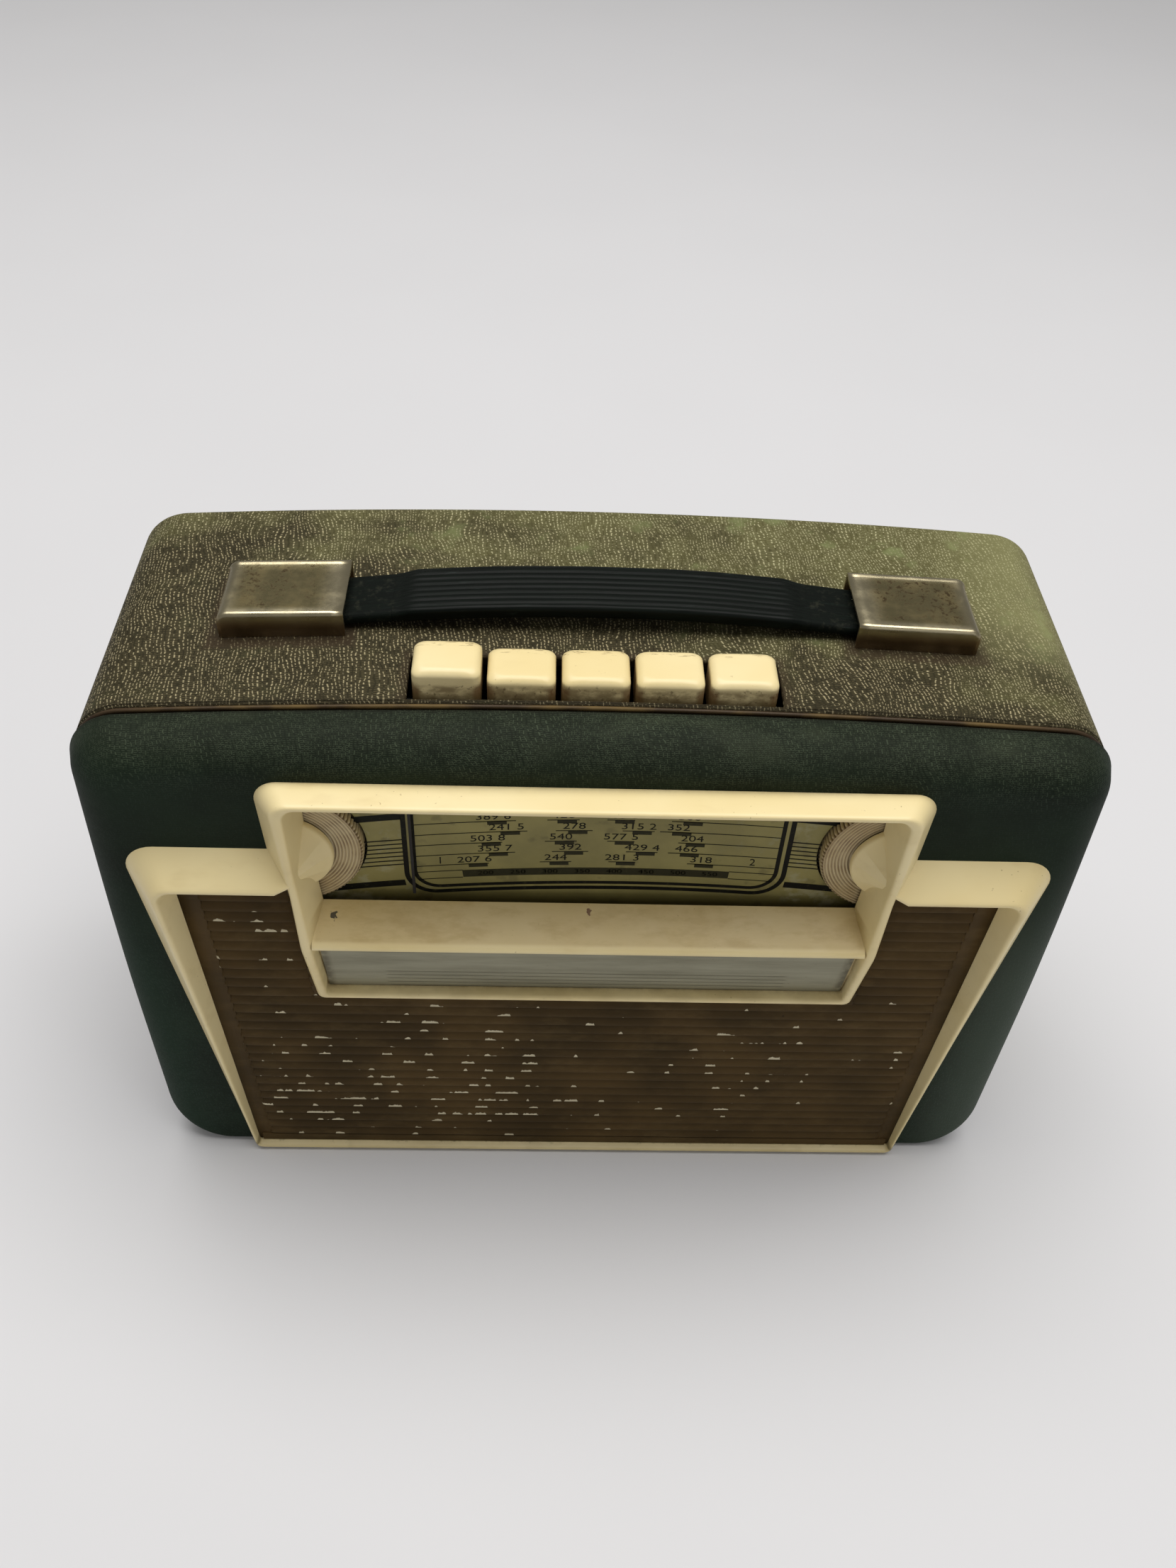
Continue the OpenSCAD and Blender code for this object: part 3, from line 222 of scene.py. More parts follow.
# case outline as (x, z, normal x, normal z, foot share, distance round from the top's middle)
def caseOutline(hw, h, bow=0.0, splits=()):
    r, fr, crown = case.topR, case.footR, case.crown
    top = hw - bow
    big = ((top - r) ** 2 + crown ** 2) / (2 * crown)
    x = top - r
    z = h - big + sqrt((big - r) ** 2 - x * x)
    side = degrees(acos(x / (big - r)))
    tilt = degrees(atan2(2 * bow, z - case.bowZ))
    right = [(*p, (p[0] - hw + fr) / fr, (p[1] - fr) / fr, 1) for p in arc(hw - fr, fr, fr, -90, 0, 14)]
    right += [(hw - bow * (k / 10) ** 2, case.bowZ + (z - case.bowZ) * k / 10, 1, 0, 0)
              for k in range(10)]
    right += [(*p, (p[0] - x) / r, (p[1] - z) / r, 0) for p in arc(x, z, r, tilt, side, 14)]
    edge = right[-1][0]
    xs = [v for v in evenly(edge, -edge, 44)[1:-1] if all(abs(v - s) > 2 for s in splits)]
    middle = []
    for v in sorted(xs + list(splits), reverse=True):
        nz = sqrt(1 - (v / big) ** 2)
        middle.append((v, h - big + big * nz, v / big, nz, 0))
    full = right + middle + [(-p[0], p[1], -p[2], p[3], p[4]) for p in reversed(right)]
    walk, total = [], 0.0
    for a, b in zip(full, full[1:] + full[:1]):
        walk.append(total)
        total += dist(a[:2], b[:2])
    half = len(right) + len(middle) // 2
    centre = walk[half] + full[half][0]
    return [p + (centre - w,) for p, w in zip(full, walk)]


def caseRing(outline, y, d, foot=None):
    drop = 0 if foot is None else d - foot
    return [(p[0] - d * p[2], y, p[1] - d * p[3] - drop * p[4]) for p in outline]


print("stage: helpers ready")


# leathercloth body: outer skin, rear rim, inner skin and the key slot with its turned edge
body = Settings(slotX=(-50.25, 48.25), slotFront=2.0, slotBack=0.9, keyDepth=14.2, turn=1.0, edge=1.0,
    coverDeep=4, ledgeDeep=8, ledge=3)


def buildCase():
    t, e, rr, rim, wall = body.turn, body.edge, case.rearR, case.rearRim, case.wall
    x0, x1 = body.slotX[0] - t, body.slotX[1] + t
    y0 = keyY - body.keyDepth / 2 - body.slotFront - t
    y1 = keyY + body.keyDepth / 2 + body.slotBack + t
    outline = caseOutline(bodyHw, case.height, 0, (x0, x1, (x0 + x1) / 2))
    coverY, ledgeY, ledge = backY - body.coverDeep, backY - body.ledgeDeep, rim + body.ledge
    spans = [(bodyY + e * (1 - up), e * off) for off, up in quarter(6, True)]  # depth and inset
    outer = len(spans)
    spans += [(y0, 0), (y1, 0)]
    spans += [(y1 + (backY - rr - y1) * k / 6, 0) for k in range(1, 6)]
    spans += [(backY - rr * (1 - up), rr * off) for off, up in quarter(8)]
    spans += [(backY, rr + 0.8), (backY, rim - 0.9), (backY - 0.15, rim - 0.3), (backY - 0.8, rim),
              (coverY, rim), (coverY, ledge), (ledgeY, ledge), (ledgeY, wall), (y1, wall),
              (y0, wall), (seamY - 2, wall), (seamY - 2, 2.5), (bodyY - 0.2, 2.5), (bodyY, 2.2)]
    inner = spans.index((y1, wall))
    points, faces = loft([caseRing(outline, y, d) for y, d in spans], along=True)
    n = len(outline)
    cols = [j for j, p in enumerate(outline) if p[4] == 0 and p[1] > 180
            and x0 - 0.01 <= p[0] <= x1 + 0.01]
    gone = {row * n + j for row in (outer, inner) for j in cols[:-1]}
    faces = [f for f in faces if f[0] not in gone]
    loops = [[outer * n + j for j in cols] + [(outer + 1) * n + j for j in reversed(cols)]]
    xc, hx, yc, hy = (x0 + x1) / 2, (x1 - x0) / 2, (y0 + y1) / 2, (y1 - y0) / 2
    for fall, off in quarter(6)[1:]:
        loop = []
        for i in loops[0]:
            x = xc + (points[i][0] - xc) * (hx - t * off) / hx
            y = yc + (points[i][1] - yc) * (hy - t * off) / hy
            loop.append(len(points))
            points.append((x, y, crownZ(x) - t * fall))
        loops.append(loop)
    loops.append([(inner + 1) * n + j for j in cols] + [inner * n + j for j in reversed(cols)])
    for a, b in zip(loops, loops[1:]):
        m = len(a)
        faces += [(a[i], a[(i + 1) % m], b[(i + 1) % m], b[i]) for i in range(m)]
    walk = [spans[outer][0]] * len(spans)  # way round the section, for the grain
    for k in range(outer + 1, len(spans)):
        walk[k] = walk[k - 1] + dist(spans[k], spans[k - 1])
    for k in range(outer - 1, -1, -1):
        walk[k] = walk[k + 1] - dist(spans[k], spans[k + 1])
    grain = [(outline[i % n][5], walk[i // n], 0) if i < n * len(spans) else (p[0], p[1], 0)
             for i, p in enumerate(points)]
    return addMesh("caseWrap", points, faces, 40, grain)


# moulded green front half: bowed sides, rounded front edge, one opening for dial and grille
shell = Settings(lip=0.8, hold=0.9, tongue=(2.2, 2.4), grilleHole=((110.9, 5.1), (115.7, 137.9)),
    dialHole=((82.07, 137.9), (82.2, 142), (86.4, 149.5)), dialCorner=(82.1, 170.3, 5.3))


def buildShell():
    r, fr, lip, hold = case.faceR, case.faceFootR, shell.lip, shell.hold
    thin, tongue = shell.tongue
    spans = [(faceY, r + hold, fr + hold)]  # depth, inset, inset at the foot
    spans += [(faceY + r * (1 - up), r * off, fr * off) for off, up in quarter(14, True)]
    spans += [(seamY - lip + lip * up, lip * off, lip * off) for off, up in quarter(5)]
    spans += [(y, d, d) for y, d in ((seamY, thin), (seamY - tongue, thin), (seamY - tongue, 4),
                                     (innerFaceY, 4))]
    rings, meta = [], []
    for y, d, foot in spans:
        bow = case.shellBow * (seamY - min(y, seamY)) / case.shellDepth
        meta.append(caseOutline(shellHw, case.height + case.shellRise, bow))
        rings.append(caseRing(meta[-1], y, d, foot))
    points, faces = loft(rings)
    n = len(rings[0])
    hole = mirrored([*shell.grilleHole, *shell.dialHole] + arc(*shell.dialCorner, 0, 90, 6))
    base = len(points)
    for y, ring, back in ((faceY, rings[0], False), (innerFaceY, rings[-1], True)):
        start = len(points)
        p, f = plate([[(q[0], q[2]) for q in ring], hole], y)
        points += p
        faces += [tuple(i + start for i in (reversed(t) if back else t)) for t in f]
    m = len(hole)
    a, b = base + n, base + 2 * n + m
    faces += [(a + i, a + (i + 1) % m, b + (i + 1) % m, b + i) for i in range(m)]
    grain = []
    for i, p in enumerate(points):
        k, j = divmod(i, n)
        wide = meta[k][j][2] if k < len(meta) else 0
        w = ease((abs(wide) - 0.25) / 0.6)
        deep = p[1] - faceY
        grain.append((p[0] + copysign(1, p[0]) * deep * w, p[2] + deep * (1 - w), 0))
    return weld(addMesh("frontShell", points, faces, 40, grain))


def buildBead():
    outline = caseOutline(bodyHw, case.height)
    turns = [radians(30 * k) for k in range(12)]
    rings = [caseRing(outline, bodyY - 0.74 - 0.68 * cos(a), 0.95 - 0.72 * sin(a)) for a in turns]
    return addMesh("bronzeBead", *loft(rings, along=True), 60)


# cream moulding: dial surround, grille frame, ledge and the half cones over the wheel hubs
mould = Settings(low=88.4, leanZ=118.2, barLow=142, apexZ=149, dialTop=176.8, lowDial=5.7, lowEdge=5.3,
    spigot=1.5, frameTop=143.6, edgeRound=1.5, lipRound=1.2, ledgeX=78, coneR=13.2, coneX=84.5,
    coneZ=146.5, tip=(81.7, 0.9, 146.6), folds=(96, 124, 150, 177, 206, 264))
# surround: low corner's x, rise, radius; x at lean, bar and apex; apex lift; top corner's x, drop, radius
surroundLines = Settings(
    edge=(77.7, 2, 2, (81.1, 81.5, 81.8), 0, 78, 5, 5),
    foot=(79, 1.4, 2, (82.6, 83.4, 87.6), 0.5, 82.1, 6.5, 6.5),
    back=(76.4, 4.6, 1, (74.9, 76.5, 77.5), 0, 73.5, 7.4, 4),
    inner=(76.2, 3.2, 1, (78.4, 79.4, 79.8), 0, 76.3, 5.8, 4))
# frame: top corner's x, z and radius, lower corner's x, z and radius, rise of the chamfer by the surround
frameLines = Settings(
    edge=(119.0, 143.6, 5.5, 109.7, 1.6, 3, 4),
    foot=(126.5, 151.4, 8.5, 111.6, 0.6, 4, 0),
    back=(114.3, 138.6, 3, 108.7, 3.6, 1.2, 4),
    inner=(117.7, 142.2, 4.8, 109, 2.7, 1.5, 4))


def surroundLine(name, d=0.0):  # d draws the line in by a wall
    x, rise, r, xs, lift, topX, drop, topR = surroundLines[name]
    heights = (mould.leanZ, mould.barLow, mould.apexZ + lift)
    return mirrored(arc(x - d, mould.low + rise + d, r, -90, 0, 4)
                    + [(x - d, z) for x, z in zip(xs, heights)]
                    + arc(topX, mould.dialTop - drop, topR - d, 0, 90, 8))


def frameLine(name):
    x, z, c, lowX, lowZ, lowC, lift = frameLines[name]
    side = [(80, z + lift), (85.6, z)] + arc(x - c, z - c, c, 90, 0, 8)
    corner = arc(lowX - lowC, lowZ + lowC, lowC, 0, -90, 8)
    side += [between(side[-1], corner[0], k / 8) for k in range(1, 8)]
    return mirrored(side + corner)


def setBack(line, y):
    return [(p[0], y, p[1]) for p in line]


def sections(lines, radii, kinks=None):  # rounded cross sections, one for each point of the lines
    if kinks:
        lines = [soften(line, kinks) for line in lines]
    return [soften(points, radii, 5) for points in zip(*lines)]


def surroundSections():
    m = mould
    lean = m.lowDial / (m.leanZ - m.low)
    edge, inner = [[(x, edgeY + lean * max(0, m.leanZ - z), z) for x, z in surroundLine(name)]
                   for name in ("edge", "inner")]
    seat = surroundLine("foot", m.spigot)
    lines = [edge, setBack(surroundLine("foot"), faceY), setBack(seat, faceY),
             setBack(seat, innerFaceY - 0.2), setBack(surroundLine("back"), innerFaceY - 0.2), inner]
    kinks = [0] * 5 + [2.5, 2.2, 2.2] + [0] * 9
    return sections(lines, (m.edgeRound, 0, 0, 0, 0.6, m.lipRound), kinks + kinks[::-1])


def frameSections():
    lean = mould.lowEdge / (mould.frameTop - 2)
    edge, inner = [[(x, edgeY + max(0, mould.lowEdge - lean * (z - 2)), z) for x, z in frameLine(name)]
                   for name in ("edge", "inner")]
    lines = [edge, setBack(frameLine("foot"), faceY), setBack(frameLine("back"), faceY), inner]
    return sections(lines, (mould.edgeRound, 0, 0, mould.lipRound))


def hubCone(sign):  # a fan of flat folds, its point on the surround's edge
    m = mould
    tipX, tipY, tipZ = m.tip

    def onCone(a, t):
        c, s = cos(radians(a)), sin(radians(a))
        base = (m.coneX + m.coneR * c, innerFaceY - 2.1, m.coneZ + m.coneR * s)
        return between((tipX + 0.5 * c, edgeY + tipY - 0.1, tipZ + 0.5 * s), base, t)

    parts = []
    for a0, a1 in zip(m.folds, m.folds[1:]):
        rings = []
        for t in [(i / 12) ** 1.3 for i in range(13)]:
            ring = []
            for k in range(9):
                chord = between(onCone(a0, t), onCone(a1, t), k / 8)
                x, y, z = between(onCone(a0 + (a1 - a0) * k / 8, t), chord, 1 - t ** 5)
                ring.append((sign * x, y + 0.5 * sin(pi * t), z))
            rings.append(ring)
        rim = rings[-1]
        for out, y in ((0.35, innerFaceY - 1.9), (0.6, innerFaceY - 1.3), (0.6, innerFaceY - 0.3)):
            rings.append([between((p[0], y, p[2]), (sign * m.coneX, y, m.coneZ), -out / m.coneR)
                          for p in rim])
        points, faces = loft(rings, around=False)
        parts.append((points, [f[::sign] for f in faces]))
    return join(parts)


def buildMoulding():
    m = mould
    low, lean, backEdge = edgeY + m.lowDial, m.leanZ, innerFaceY - 0.2
    ledge = [(backEdge, lean + 8), (edgeY + 0.6, lean + 2), (edgeY + 0.1, lean + 1.2),
             (edgeY + 0.5, lean + 0.1), (edgeY + 4.7, lean - 3), (low + 4, m.low + 2.3),
             (low + 1.2, m.low + 1.2), (backEdge, m.low + 1.6)]
    ledge = soften(ledge, (0, 0.9, 0.6, 0.7, 0.4, 0.4, 0.6, 0))
    parts = [loft(surroundSections(), along=True), loft(frameSections(), caps=True),
             barX(-m.ledgeX, m.ledgeX, ledge, 12), hubCone(1), hubCone(-1)]
    return addMesh("creamMoulding", *join(parts), 42)


# brown louvres: slats with tapered ends between a rim, a foot bar and four ribs behind
grille = Settings(pitch=4.4, low=3.6, strip=4.2, high=137.6, front=-1.8, deep=3.4, wave=0.14,
    margin=3.2, half=107.6, lean=0.036, ribs=((36, 86), (98, 136.6)),
    slat=((0, 0), (0.15, 1.3), (1.25, 4.1), (2.2, 4.1), (1.1, 0.5)),
    taper=((0.1, 0.75), (0.5, 0.4), (1.2, 0.1)))


def grilleX(z):
    return grille.half + grille.lean * z


def surroundX(z):
    return 81.3 + 0.045 * (z - mould.low + 0.4)


def buildSlat(x0, x1, y0, z):
    g = grille
    profile = soften([(y0 + y, z + up) for y, up in g.slat], (0.4, 0.4, 0.2, 0.2, 0.4), 3)
    ends = [(x0 + x, drop) for x, drop in g.taper]
    ends += [(x, 0) for x in evenly(x0, x1, max(2, round((x1 - x0) / 5))) if x0 + 1.5 < x < x1 - 1.5]
    ends += [(x1 - x, drop) for x, drop in reversed(g.taper)]
    rings = []
    for x, drop in ends:
        dz = g.wave * lumps(Vector((x / 16, z * 3.1, 0.3)))
        dy = max(0, g.wave * 0.5 * lumps(Vector((x / 22, z * 1.7, 4.3))))
        rings.append([(x, y + dy + drop * (1 if y < y0 + 1 else 0.3), up + dz) for y, up in profile])
    return loft(rings, caps=True)


def buildLouvres():
    g = grille
    low, high, inset = g.low, g.high, g.margin + 0.6
    first = low + g.strip
    y0 = faceY + g.front
    y1 = y0 + g.deep
    parts = []
    for i in range(int((high - first - 6.3) / g.pitch) + 1):
        z = first + i * g.pitch
        far = grilleX(z) - g.margin
        under = z + 3 < mould.low - 1.5
        for x0, x1 in [(-far, far)] if under else [(-far, -surroundX(z + 3)), (surroundX(z), far)]:
            parts.append(buildSlat(x0, x1, y0, z))
    bar = [(y0 + 0.2, low), (y1 - 0.6, low), (y1 - 0.6, first - 0.6), (y0 + 0.2, first - 0.6)]
    parts.append(barX(0.2 - grilleX(0), grilleX(0) - 0.2, soften(bar, (0.3, 0.2, 0.2, 0.5)), 20))
    for x, tall in g.ribs:
        rib = [(y1 - 0.9, low + 1), (y1, low + 1), (y1, tall), (y1 - 0.9, tall)]
        parts += [barX(side * x - 0.8, side * x + 0.8, rib) for side in (-1, 1)]
    rim = mirrored([(grilleX(0) + 3, low), (grilleX(high) + 3, high), (surroundX(high) - 0.6, high),
                    (surroundX(86) - 0.6, 86.9)])
    shut = mirrored([(grilleX(0) - inset, first - 0.6), (grilleX(high) - inset, high - 2.6),
                     (surroundX(high) + 0.6, high - 2.6), (surroundX(84) + 0.6, 84.6)])
    parts.append(panel([rim, shut], y0 + 0.8, y1 + 0.1))
    return weld(addMesh("brownLouvres", *join(parts), 50), 0.004)


print("stage: case, shell, moulding and louvres defined")


# thumb wheels: knurled rim, turned rings on the face, shaft behind
wheel = Settings(r=21.7, x=84.5, z=146.5, t=5.8, teeth=96, tooth=0.7, hub=12.2, rings=9, ringPitch=0.92,
    ringDeep=0.28, shaft=3, sleeve=6, flange=7.6, cordR=5.67)


def buildWheel(name, sign):
    w = wheel
    x = sign * w.x
    r, t, hub = w.r, w.t, w.hub
    profile = [(0.01, 0.8), (6, 0.75), (11, 0.8), (hub - 0.3, 0.75), (hub, 0.5), (hub, 0.15), (hub + 0.2, 0)]
    for k in range(w.rings * 6):
        ringR = hub + 0.35 + k * w.ringPitch / 6
        if ringR < r - 0.95:
            profile.append((ringR, w.ringDeep * (0.5 - 0.5 * cos(2 * pi * k / 6))))
    profile += [(r - 0.75, 0), (r - 0.35, 0.12), (r - 0.1, 0.4), (r, 0.8), (r, t - 0.8), (r - 0.1, t - 0.4),
                (r - 0.4, t - 0.1), (r - 0.8, t), (19, t), (19, 2.4), (w.sleeve, 2.4)]
    if sign > 0:  # the tuning wheel's sleeve carries the cord
        c = cordY - wheelY
        profile += [(w.sleeve, c - 3), (w.flange, c - 2.5), (w.flange, c - 1.7), (w.cordR, c - 1.7),
                    (w.cordR, c + 1.7), (w.flange, c + 1.7), (w.flange, c + 2.5)]
    else:
        profile += [(w.sleeve, t)]
    back = shaftEnd - wheelY
    shaft = w.shaft
    profile += [(shaft, profile[-1][1]), (shaft, back - 0.4), (shaft - 0.4, back), (0.01, back)]
    count = w.teeth * 4
    rings = []
    for ringR, y in profile:
        ring = []
        for k in range(count):
            a = 2 * pi * k / count
            cut = ringR - (w.tooth * (0, 0.25, 1, 0.25)[k % 4] if ringR > r - 0.5 else 0)
            ring.append((x + cut * cos(a), wheelY + y, w.z + cut * sin(a)))
        rings.append(ring)
    return weld(addMesh(name, *loft(rings), 50), 0.03)


# push keys: rounded blocks with a slightly crowned top, on flat stems
key = Settings(pitch=19.5, x=-1, w=18, d=14.2, top=194, tall=12, rise=2, corner=2.3, frontRound=2.2,
    sideRound=2.2, crown=0.3, stem=(3, 0.8, 19))


def roundedRect(hx, hy, r, n=5, flat=6):
    out = []
    for k, (sx, sy) in enumerate(((1, 1), (-1, 1), (-1, -1), (1, -1))):
        out += arc(sx * (hx - r), sy * (hy - r), r, 90 * k, 90 * k + 90, n)
    closed = []
    for i, p in enumerate(out):
        closed.append(p)
        if (i + 1) % (n + 1) == 0:
            closed += [between(p, out[(i + 1) % len(out)], k / flat) for k in range(1, flat)]
    return closed


def buildKey(i):
    x = key.x + (i - 3) * key.pitch
    top = key.top + (key.rise if i == 1 else 0)
    low = top - key.tall
    hx, hy, corner, fr, sr = key.w / 2, key.d / 2, key.corner, key.frontRound, key.sideRound
    rings = []

    def ring(loop, z, crowned=0.0):
        rings.append([])
        for px, py in loop:
            dome = key.crown * (((px / hx) ** 2) ** 1.3 + 0.9 * ((py / hy) ** 2) ** 1.2)
            rings[-1].append((x + px, keyY + py, z - crowned * dome))

    ring(roundedRect(hx - 0.8, hy - 0.8, corner), low)
    ring(roundedRect(hx, hy, corner), low)
    for off, up in quarter(10):
        ring(roundedRect(hx - sr * off, hy - fr * off, corner + 0.5 * up), top - fr + fr * up, up)
    for s in (0.9, 0.7, 0.45, 0.2, 0.02):
        ring([(px * s, py * s) for px, py in roundedRect(hx - sr, hy - fr, corner + 0.5)], top, 1)
    w, d, deep = key.stem
    stem = [[(x + px, keyY + py, z) for px, py in ((w, -d), (w, d), (-w, d), (-w, -d))]
            for z in (low - deep, low + 0.1)]
    return addMesh(f"creamKey{i}", *join([loft(rings, caps=True), loft(stem, caps=True)]), 45)


# handle: ribbed grip, plain necks, rolled caps
handle = Settings(w=19.5, t=4.1, low=193.9, rise=4.6, capIn=69.9, capL=34.6, capW=24.5, capTop=196,
    capTilt=2.3, capRoll=3.6, capRound=1.2, gripX=57, ribs=7, ribPitch=2.3, ribTall=0.28, neckT=3.2,
    neckW=18.5, sheet=1.0)
strapR = (handle.capIn ** 2 + handle.rise ** 2) / (2 * handle.rise)


def onArch(s, side, up):  # s along the strap, side across it, up from its underside
    r = strapR + up
    return (handleX + r * sin(s / strapR), handleY + side, handle.low - strapR + r * cos(s / strapR))


def strapSection(w, t, ribs, n=72):
    h, foot, top = w / 2, 1.2, 1.3
    loop = [(foot - h, 0)] + arc(h - foot, foot, foot, -90, 0, 3) + arc(h - top, t - top, top, 0, 90, 3)
    for k in range(1, n):
        y = (h - top) * (1 - 2 * k / n)
        u = abs(y) / handle.ribPitch
        wave = (0.5 + 0.5 * cos(2 * pi * u)) ** 0.7 if u < handle.ribs / 2 else 0
        loop.append((y, t + ribs * (wave - 0.35)))
    return loop + arc(top - h, t - top, top, 90, 180, 3) + arc(foot - h, foot, foot, 180, 270, 3)[:-1]


def buildGrip():
    h, g = handle, handle.gripX
    rings = []
    for s in evenly(-g, g, 76):
        f = ease((g - abs(s)) / 7)
        section = strapSection(h.neckW + (h.w - h.neckW) * f, h.neckT + (h.t - h.neckT) * f,
                               h.ribTall * f)
        wob = 0.16 * lumps(Vector((s / 13, 0.7, 2.2)))
        rings.append([onArch(s, y, u + wob * (u > 1)) for y, u in section])
    return addMesh("strapGrip", *loft(rings, caps=True), 60)


def buildNeck(name, sign):
    g, inX = handle.gripX, handle.capIn
    rings = []
    for k, s in enumerate(evenly(g + 0.05, inX + 8.05, 19)):
        drop = max(0, (s - inX - 1)) * 0.12
        ring = [onArch(s, y, u) for y, u in strapSection(handle.neckW - 0.02 * k, handle.neckT, 0, 24)]
        ring = [(handleX + sign * (p[0] - handleX), p[1], p[2] - drop) for p in ring]
        rings.append(ring[::sign])
    return addMesh(name, *loft(rings, caps=True), 60)


def buildCap(name, sign):
    h = handle
    tilt, roll, r = radians(h.capTilt), h.capRoll, h.capRound
    flat, side = h.capL - roll, h.capW / 2 - h.capRound
    line = [(x, 0, 0, 1) for x in evenly(0, flat, 9)]  # along, up and the way out
    bend = zip(arc(flat, -roll, roll, 90, 0, 10)[1:], quarter(10)[1:])
    line += [(*p, up, 1 - off) for p, (off, up) in bend]
    line += [(h.capL, -roll - 1.5, 1, 0)]

    def seat(x, z, y):
        px = h.capIn + x * cos(tilt) + z * sin(tilt)
        return (handleX + sign * px, handleY + y, h.capTop - x * sin(tilt) + z * cos(tilt))

    rings = []
    for x, z, nx, nz in line:
        spots = [(-r * off, -side - r * up) for off, up in quarter(6, True)]
        spots += [(0, -side + 2 * side * k / 9) for k in range(1, 8)]
        spots += [(0, side - 1.3), (0.1, side - 0.9), (0.24, side - 0.45)]  # rear edge turned up
        spots += [(0.3 * (1 - off) - r * off, side + r * up) for off, up in quarter(6)]
        ring = [seat(x + out * nx, z + out * nz, y) for out, y in spots]
        foot = []
        for p in (ring[0], ring[-1]):
            x0 = handleX + sign * min(abs(p[0] - handleX), h.capIn + h.capL - r - 0.4)
            foot.append((x0, p[1], crownZ(x0) + 0.03))
        rings.append([foot[0]] + ring + [foot[1]])
    rings.append([(p[0], p[1], crownZ(p[0]) + 0.03) for p in rings[-1]])
    points, faces = loft(rings, around=False)
    obj = weld(addMesh(name, points, [f[::-sign] for f in faces], 50), 0.02)
    thick = obj.modifiers.new("sheet", "SOLIDIFY")
    thick.thickness = h.sheet * mm
    thick.offset = -1
    return obj


# dial print: arched rows of numbers with their marks, a framed scale and side bands
dial = Settings(x=1.1, half=50.5, sag=2.6, slope=0.0165, ink=0.04, firstRow=140.6, rowPitch=4.25,
    rows=7, numberTall=2.5, markWide=5.3, markTall=1.2, underline=0.28,
    border=((50.7, 1.2, 131.8, 7.5), (53.0, 1.4, 129.6, 8.88)), edge=50.1, top=176,
    evenRow=((-34, 6), (-11.5, 7), (7, 6), (29, 6)), oddRow=((-30, 9), (-8, 8), (13, 7), (26, 8)),
    bandX=37.4, bandZ=135.6, bandTall=2.9, outerX=53.6, outerLow=142.0, outerPitch=1.68, outerLines=7,
    outerWide=0.42, outerBands=(134.2, 161.3))


def onDial(x, z):  # print is arched, and sits a little askew
    off = x - dial.x
    return z - dial.sag * (off / dial.half) ** 2 + dial.slope * off


def inkStrip(path, wide):  # thin closed strip along (x, z) points
    y0, y1 = plateY - dial.ink, plateY + 0.02
    rings = []
    for i, (x, z) in enumerate(path):
        a, b = path[max(0, i - 1)], path[min(len(path) - 1, i + 1)]
        half = wide / 2 / max(dist(a, b), 1e-6)
        nx, nz = (a[1] - b[1]) * half, (b[0] - a[0]) * half
        rings.append([(x + nx, y0, z + nz), (x - nx, y0, z - nz), (x - nx, y1, z - nz), (x + nx, y1, z + nz)])
    return loft(rings, caps=True)


def rowStrip(x0, x1, z, wide):
    xs = evenly(x0, x1, max(1, round(abs(x1 - x0) / 3)))
    return inkStrip([(x, onDial(x, z)) for x in xs], wide)


def number(text, x, z, tall, wide):  # digits from the built-in font, laid on the dial
    curve = bpy.data.curves.new("digits", "FONT")
    curve.body = text
    curve.size = tall * 1.38
    curve.align_x = "CENTER"
    curve.extrude = dial.ink / 2
    curve.resolution_u = 3
    holder = addObject("digits", curve)
    bpy.context.view_layer.update()
    mesh = bpy.data.meshes.new_from_object(holder)
    spots = [(x + v.co.x * wide, v.co.y, v.co.z) for v in mesh.vertices]
    points = [(px, plateY - dial.ink / 2 - deep, onDial(px, z) + up) for px, up, deep in spots]
    faces = [tuple(f.vertices) for f in mesh.polygons]
    bpy.data.objects.remove(holder)
    bpy.data.meshes.remove(mesh)
    bpy.data.curves.remove(curve)
    return points, faces


